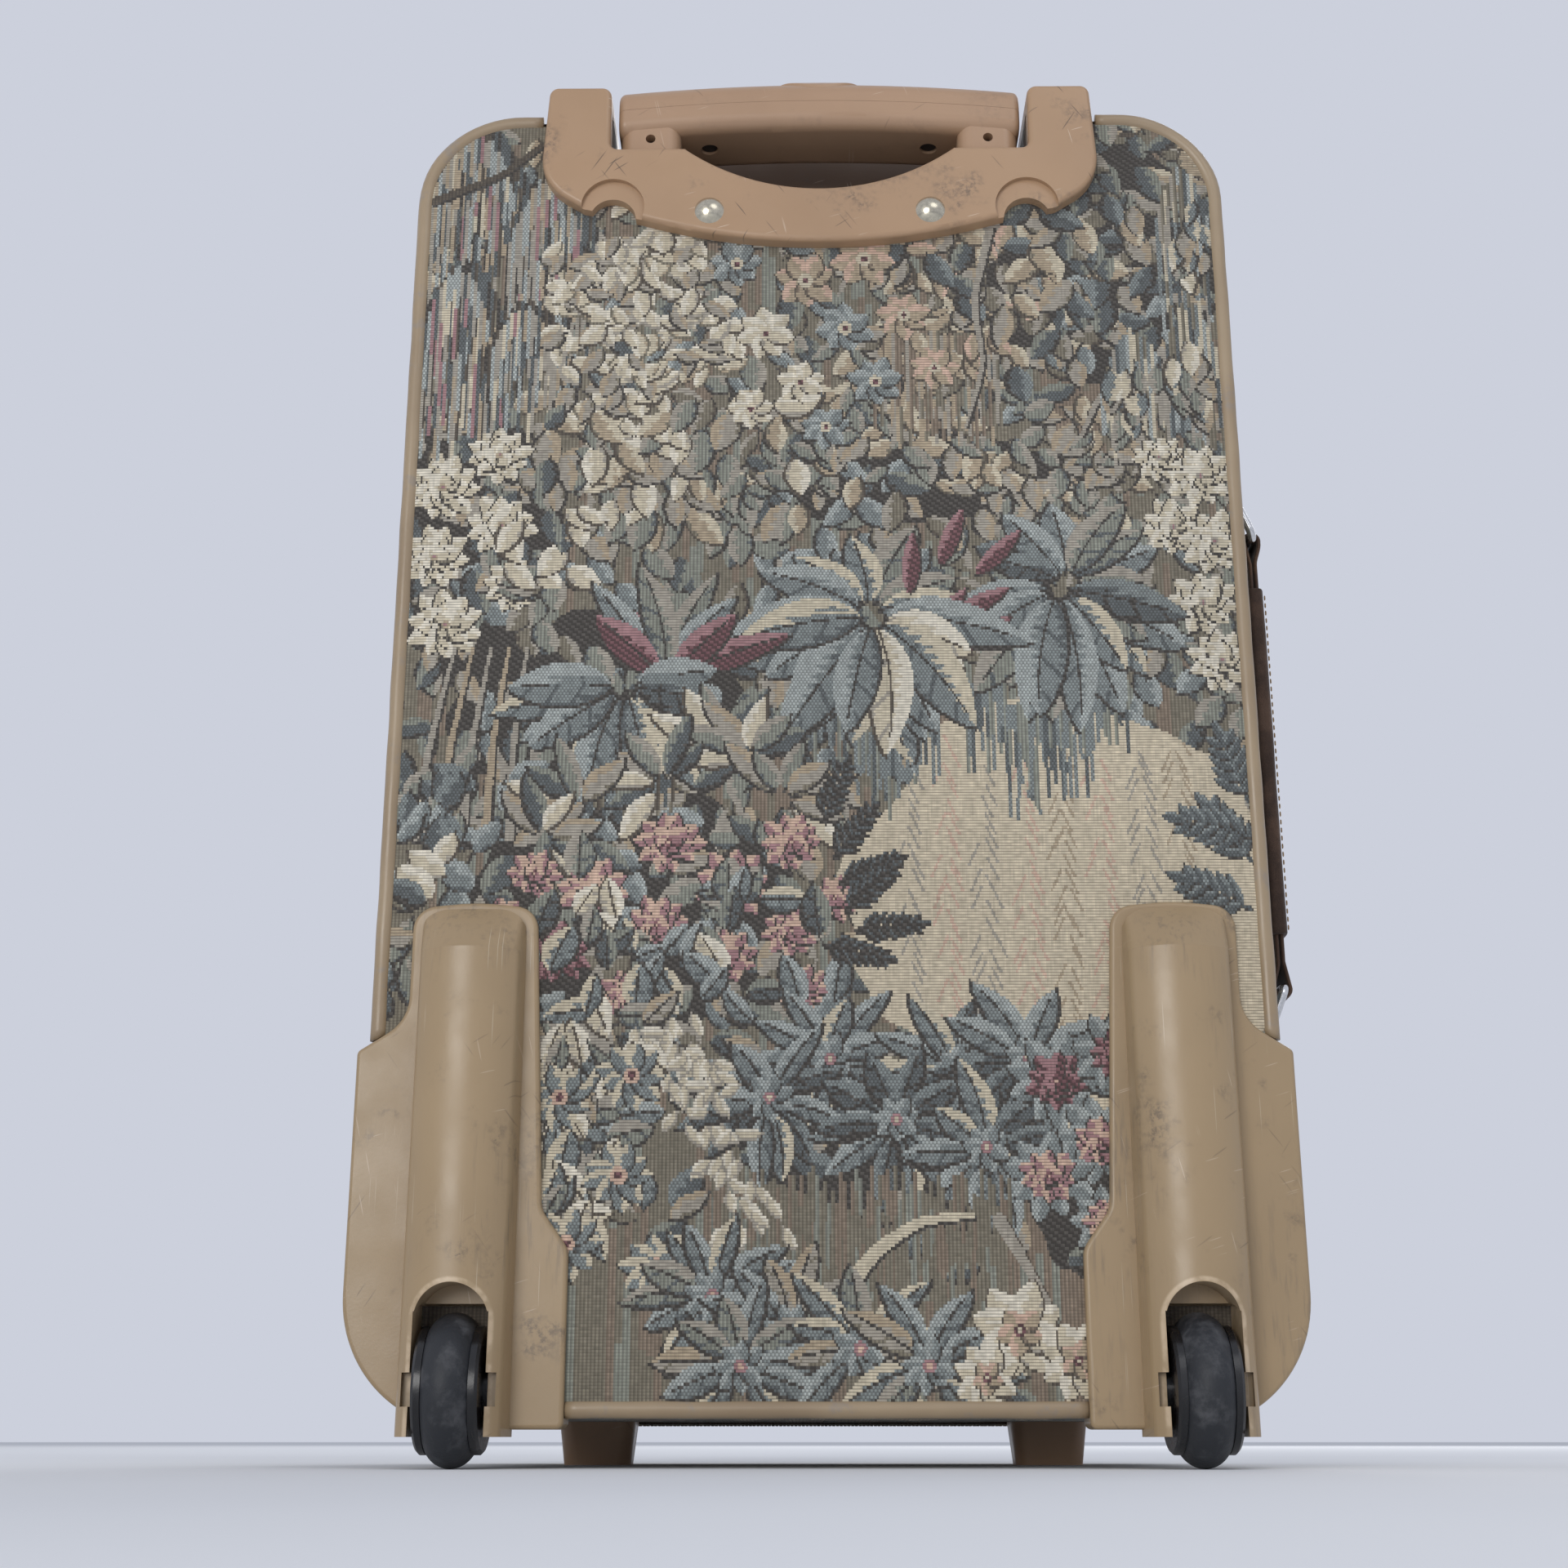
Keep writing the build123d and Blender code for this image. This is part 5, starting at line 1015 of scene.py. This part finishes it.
def piping(name, node, y, stretches, body, trim):
    """Vinyl piping as a slightly uneven tube along stretches of the outline, trimmed at the brows."""
    brow_x, brow_z, brow_slope = 152.0, 156.6, 0.639
    track = outline_track(PIPING_RADIUS)
    whole = track[0][-1]
    turn = circle(14)[None, :]
    rings = []
    for start, end in stretches:
        u = np.linspace(start, end, int(abs(end - start) / 4) + 2)
        x, z, nx, nz = (part[:, None] for part in on_track(track, u % whole))
        uneven = 0.05 * np.sin(u / 9.0) + 0.04 * np.sin(u / 3.7 + 1.0)
        radius = PIPING_RADIUS - 0.06 + 0.06 * np.sin(u / 5.3)[:, None]
        out = radius * np.cos(turn) + uneven[:, None]
        px, pz = x + nx * out, z + nz * out
        if trim:
            foot = brow_z - brow_slope * (np.abs(px) - brow_x)
            pz = np.where((np.abs(px) > brow_x - 2) & (pz < foot) & (np.abs(nx) > 0.9), foot, pz)
        points = to_frame(px, y + radius * np.sin(turn), pz)
        cap = points.mean(axis=1, keepdims=True)
        if end - start < whole - 1:
            ends = [points[:1] * 0.001 + cap[:1] * 0.999, points, points[-1:] * 0.001 + cap[-1:] * 0.999]
            points = np.concatenate(ends)
        rings.append(grid_piece(f"{name}_{len(rings)}", points, VINYL, body, wrap_columns=True))
    for ring in rings:
        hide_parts(node)


def both_pipings():
    """Rear piping in three runs between the wheel housings and the bezel, and front piping all round."""
    housing_top, housing_side, bezel_side = 149.0, 90.8, 115.7
    whole = outline_track(PIPING_RADIUS)[0][-1]
    half_bottom, quarter = CASE_HALF - CORNER, (CORNER - PIPING_RADIUS) * pi / 2
    rise = half_bottom + quarter + housing_top - CASE_FLOOR - CORNER
    over = half_bottom + quarter + (CASE_TOP - CASE_FLOOR - 2 * CORNER) + quarter + half_bottom - bezel_side
    runs = [(rise, over), (whole - over, whole - rise), (-housing_side, housing_side)]
    piping("rear_piping_tube", "rear_piping", PIPING_DEPTH, runs, "case", True)
    piping("front_piping_tube", "front_piping", LID_FRONT - PIPING_DEPTH, [(0.0, whole)], "lid", False)


def leather_band(name, path, width, thickness):
    """Flat leather strap with soft edges carried along a closed way in x and z."""
    path = np.array(path)
    ahead = np.roll(path, -1, 0) - np.roll(path, 1, 0)
    ahead /= np.linalg.norm(ahead, axis=1, keepdims=True)
    turn = circle(28)
    flat = squared(np.cos(turn), 0.3) * width / 2
    thick = squared(np.sin(turn), 0.5) * thickness / 2
    wave = 0.12 * np.sin(path[:, 1] / 7.0)[:, None]
    x = path[:, :1] + ahead[:, 1:] * thick
    z = path[:, 1:] - ahead[:, :1] * thick
    points = to_frame(x, HANDLE_Y + flat[None, :] + wave, z)
    piece = grid_piece(name, points, LEATHER, "case", True, True)
    return piece


def stitch_rows(name, x, reach, heights):
    """Two rows of short raised stitches along x-facing leather."""
    share, radius = np.array([(-1.0, 0.12), (-0.6, 0.34), (0.6, 0.34), (1.0, 0.12)]).T[:, :, None]
    turn = circle(6)[None, :]
    y, z = (part.reshape(-1, 1, 1) for part in np.meshgrid((-reach, reach), heights, indexing="ij"))
    points = to_frame(x + radius * np.sin(turn) - 0.12 * np.abs(share),
                      HANDLE_Y + y + radius * np.cos(turn), CASE_MID + z + 1.1 * share)
    number = np.arange(24).reshape(4, 6)
    tube = grid_faces(np.concatenate([number, number[:, :1]], 1))
    faces = (number.size * np.arange(y.size)[:, None, None] + tube).reshape(-1, 4)
    piece = mesh_piece(name, points.reshape(-1, 3), faces, THREAD)
    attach(piece, "case")


def side_strap():
    """Leather strap of the side handle, folded back round the rings."""
    straight, ring, ply, fold = 86.0, 97.0, 1.05, 3.2
    way = [(HANDLE_X + ply, CASE_MID + z) for z in np.linspace(-straight, straight, 60)]
    for share in np.linspace(0.15, 0.9, 6):
        spread = (fold - ply) * share * share * (3 - 2 * share)
        way.append((HANDLE_X + ply + spread, CASE_MID + straight + 10 * share))
    for angle in np.linspace(0, pi, 15):
        way.append((HANDLE_X + fold * cos(angle), CASE_MID + ring + fold * sin(angle)))
    up = np.array(way)
    down = np.stack([2 * HANDLE_X - up[:, 0], 2 * CASE_MID - up[:, 1]], 1)
    piece = leather_band("side_strap", np.concatenate([up, down]), 26.0, 2.0)
    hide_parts("side_handle_strap")


def side_sleeve():
    """Suede sleeve round the strap, rolled in at both ends."""
    reach, half_thick, half_wide = 75.0, 3.95, 14.9
    turn = circle(48)
    start = [(0.3 * k - reach, roll) for k, roll in enumerate([(0.62, 0.9), (0.8, 0.955), (0.95, 0.99)])]
    rows = start + [(z, (1, 1)) for z in np.linspace(1 - reach, reach - 1, 60)]
    rows += [(-z, roll) for z, roll in reversed(start)]
    rings = []
    for z, (thick, wide) in rows:
        ease = 1 + 0.03 * sin(z / 9.0) * cos(z / 23.0)
        out = squared(np.cos(turn), 0.55) * half_thick * thick * ease
        across = squared(np.sin(turn), 0.45) * half_wide * wide
        rings.append(to_frame(HANDLE_X + out, HANDLE_Y + across, CASE_MID + z))
    piece = grid_piece("side_sleeve", np.array(rings), SUEDE, "case", wrap_columns=True)
    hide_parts("side_handle_sleeve")


def side_tabs():
    """Leather tabs folded round the rings' anchor bars, flat on the wall and stitched."""
    bar_x, bar_z, fold = 177.5, 113.0, 3.0
    face, tip, seam = 174.55, 147.0, 122.0
    wall = 166.2 + fullness(HANDLE_Y, CASE_MID + 130.0)
    for sign, label in ((1, "upper"), (-1, "lower")):
        way = [(face, tip - k) for k in np.linspace(0, 26, 14)]
        for angle in np.linspace(0.75, 2 * pi - 0.5, 22):
            way.append((bar_x - fold * cos(angle), bar_z + fold * sin(angle)))
        way += [(wall + 1.2, seam + k) for k in np.linspace(0, tip - seam, 14)]
        way = [(x, CASE_MID + sign * z) for x, z in way]
        leather_band("side_tab_" + label, way[::sign], 24.0, 1.8)
        stitch_rows("side_tab_stitch_" + label, face + 1.55, 9.5, sign * np.arange(seam, tip - 1, 3.2))
    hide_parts("side_handle_tabs")


def zip_teeth(name, spots, ahead, up, across, body):
    """Row of zip teeth: each a raised block at a spot, turned to the way ahead, up and across the seam."""
    spots, ahead, up, across = np.broadcast_arrays(spots, ahead, up, across)
    points = []
    for rise, half, tail, head in ((0.0, 0.9, -2.6, 1.1), (0.8, 0.6, -2.2, 0.8)):
        for along, over in ((-half, tail), (half, tail), (half, head), (-half, head)):
            place = spots + along * ahead + rise * up + over * across
            points.append(to_frame(*place.T))
    points = np.stack(points, 1).reshape(-1, 3)
    quads = [(4, 5, 6, 7), (0, 4, 7, 3), (1, 2, 6, 5), (0, 1, 5, 4), (2, 3, 7, 6)]
    first = (np.arange(len(spots)) * 8)[:, None, None]
    faces = (first + np.array(quads)[None]).reshape(-1, 4)
    piece = mesh_piece(name, points, faces, BRASS, smooth=False)
    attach(piece, body)


def main_zip():
    """Teeth of the main zip on both tapes, on all sides but the hinged one."""
    track = outline_track(-0.65)
    count = 520
    for body, side, offset in (("case", 1.0, 0.0), ("lid", -1.0, 0.5)):
        way = on_track(track, (np.arange(count) + offset) / count * track[0][-1])
        x, z, nx, nz = np.array(way)[:, way[0] > CORNER / 2 - CASE_HALF]
        spots = np.stack([x, np.full(len(x), (SEAM_REAR + SEAM_FRONT) / 2), z], 1)
        ahead = np.stack([-nz, 0 * nz, nx], 1)
        up = np.stack([nx, 0 * nx, nz], 1)
        zip_teeth("zip_teeth_" + body, spots, ahead, up, (0.0, side, 0.0), body)


def pocket_zip():
    """Teeth of the pocket's zip."""
    reach, pitch = 114.0, 3.2
    low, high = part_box("pocket_zip_tape")
    face = (high.y - BACK_Y) / MM + 0.05
    middle = (low.z + high.z) / 2 / MM
    for name, side, offset in (("pocket_teeth_upper", -1.0, 0.0), ("pocket_teeth_lower", 1.0, pitch / 2)):
        x = np.arange(-reach, reach, pitch) + offset
        spots = np.stack([x, np.full(len(x), face), np.full(len(x), middle)], 1)
        zip_teeth(name, spots, (1.0, 0.0, 0.0), (0.0, 1.0, 0.0), (0.0, 0.0, side), "lid")


back_cloth()
wall_cloth("wall_cloth", "body_wall", (WALL_REAR, SEAM_REAR), "case", 41)
wall_cloth("lid_wall_cloth", "lid_wall", (SEAM_FRONT, LID_FRONT - WALL_REAR), "lid", 43)
front_cloth()
pocket()
both_pipings()
side_strap()
side_sleeve()
side_tabs()
stitch_rows("side_sleeve_stitch", HANDLE_X + 4.0, 12.6, np.arange(-72, 73, 3.4))
main_zip()
pocket_zip()

# Camera, stage and light

camera_tilt, camera_turn = 17.25, 0.48
camera = bpy.data.objects.new("camera", bpy.data.cameras.new("camera"))
bpy.context.scene.collection.objects.link(camera)
camera.data.lens = 48.62
camera.data.sensor_width = 36.0
camera.location = to_frame(-8.3, -766.0, 9.0)
camera.rotation_euler = (radians(90 + camera_tilt), 0.0, radians(camera_turn))
bpy.context.scene.camera = camera


def floor_piece():
    """Broad pale floor."""
    f = Finish("floor_paper", roughness=0.95, specular_ior_level=0.0)
    f.set(base_color=f.mix(f.noise(3.0, 2.0), srgb(238, 240, 245), srgb(243, 245, 249)))
    count = 13
    x, y = np.meshgrid(np.linspace(-30, 30, count), np.linspace(-30, 30, count))
    points = np.stack([x, y, np.zeros_like(x)], -1).reshape(-1, 3)
    faces = grid_faces(np.arange(count * count).reshape(count, count))
    return mesh_piece("floor", points, faces, f.material)


def lamp(name, place, target, size, power, tint):
    """Large soft lamp aimed at a point."""
    light = bpy.data.lights.new(name, "AREA")
    light.shape = "DISK"
    light.size = size
    light.energy = power
    light.color = tint
    piece = bpy.data.objects.new(name, light)
    bpy.context.scene.collection.objects.link(piece)
    aim = np.array(target) - np.array(place)
    tilt = acos(-aim[2] / np.linalg.norm(aim))
    piece.location = place
    piece.rotation_euler = (tilt, 0.0, atan2(aim[1], aim[0]) - pi / 2)
    return piece


def sky():
    """Plain pale surroundings: the camera and reflections see the photo's grey, the light is dimmer."""
    world = bpy.data.worlds.new("world")
    bpy.context.scene.world = world
    world.use_nodes = True
    tree = world.node_tree
    seen = tree.nodes["Background"]
    seen.inputs["Color"].default_value = srgb(204, 208, 220)
    seen.inputs["Strength"].default_value = 1.0
    dim = tree.nodes.new("ShaderNodeBackground")
    dim.inputs["Color"].default_value = srgb(206, 210, 220)
    dim.inputs["Strength"].default_value = 0.74
    pick = tree.nodes.new("ShaderNodeMixShader")
    rays = tree.nodes.new("ShaderNodeLightPath")
    share = rays.outputs["Is Camera Ray"]
    for ray in ("Is Glossy Ray", "Is Transmission Ray"):
        either = tree.nodes.new("ShaderNodeMath")
        either.operation = "MAXIMUM"
        tree.links.new(share, either.inputs[0])
        tree.links.new(rays.outputs[ray], either.inputs[1])
        share = either.outputs[0]
    tree.links.new(share, pick.inputs[0])
    tree.links.new(dim.outputs[0], pick.inputs[1])
    tree.links.new(seen.outputs[0], pick.inputs[2])
    tree.links.new(pick.outputs[0], tree.nodes["World Output"].inputs["Surface"])


sky()
lamps = [
    lamp("key", (-1.2, -3.2, 0.9), (0.0, -0.1, 0.25), 1.7, 39.0, (1.0, 0.985, 0.96)),
    lamp("high_right", (0.9, -2.0, 2.2), (0.1, -0.1, 0.5), 1.4, 7.0, (0.98, 0.985, 1.0)),
    lamp("front_soft", (1.1, 3.3, 2.4), (0.0, 0.1, 0.3), 2.4, 40.0, (1.0, 0.99, 0.97)),
]
floor_piece()
bpy.context.scene.view_settings.view_transform = "Standard"
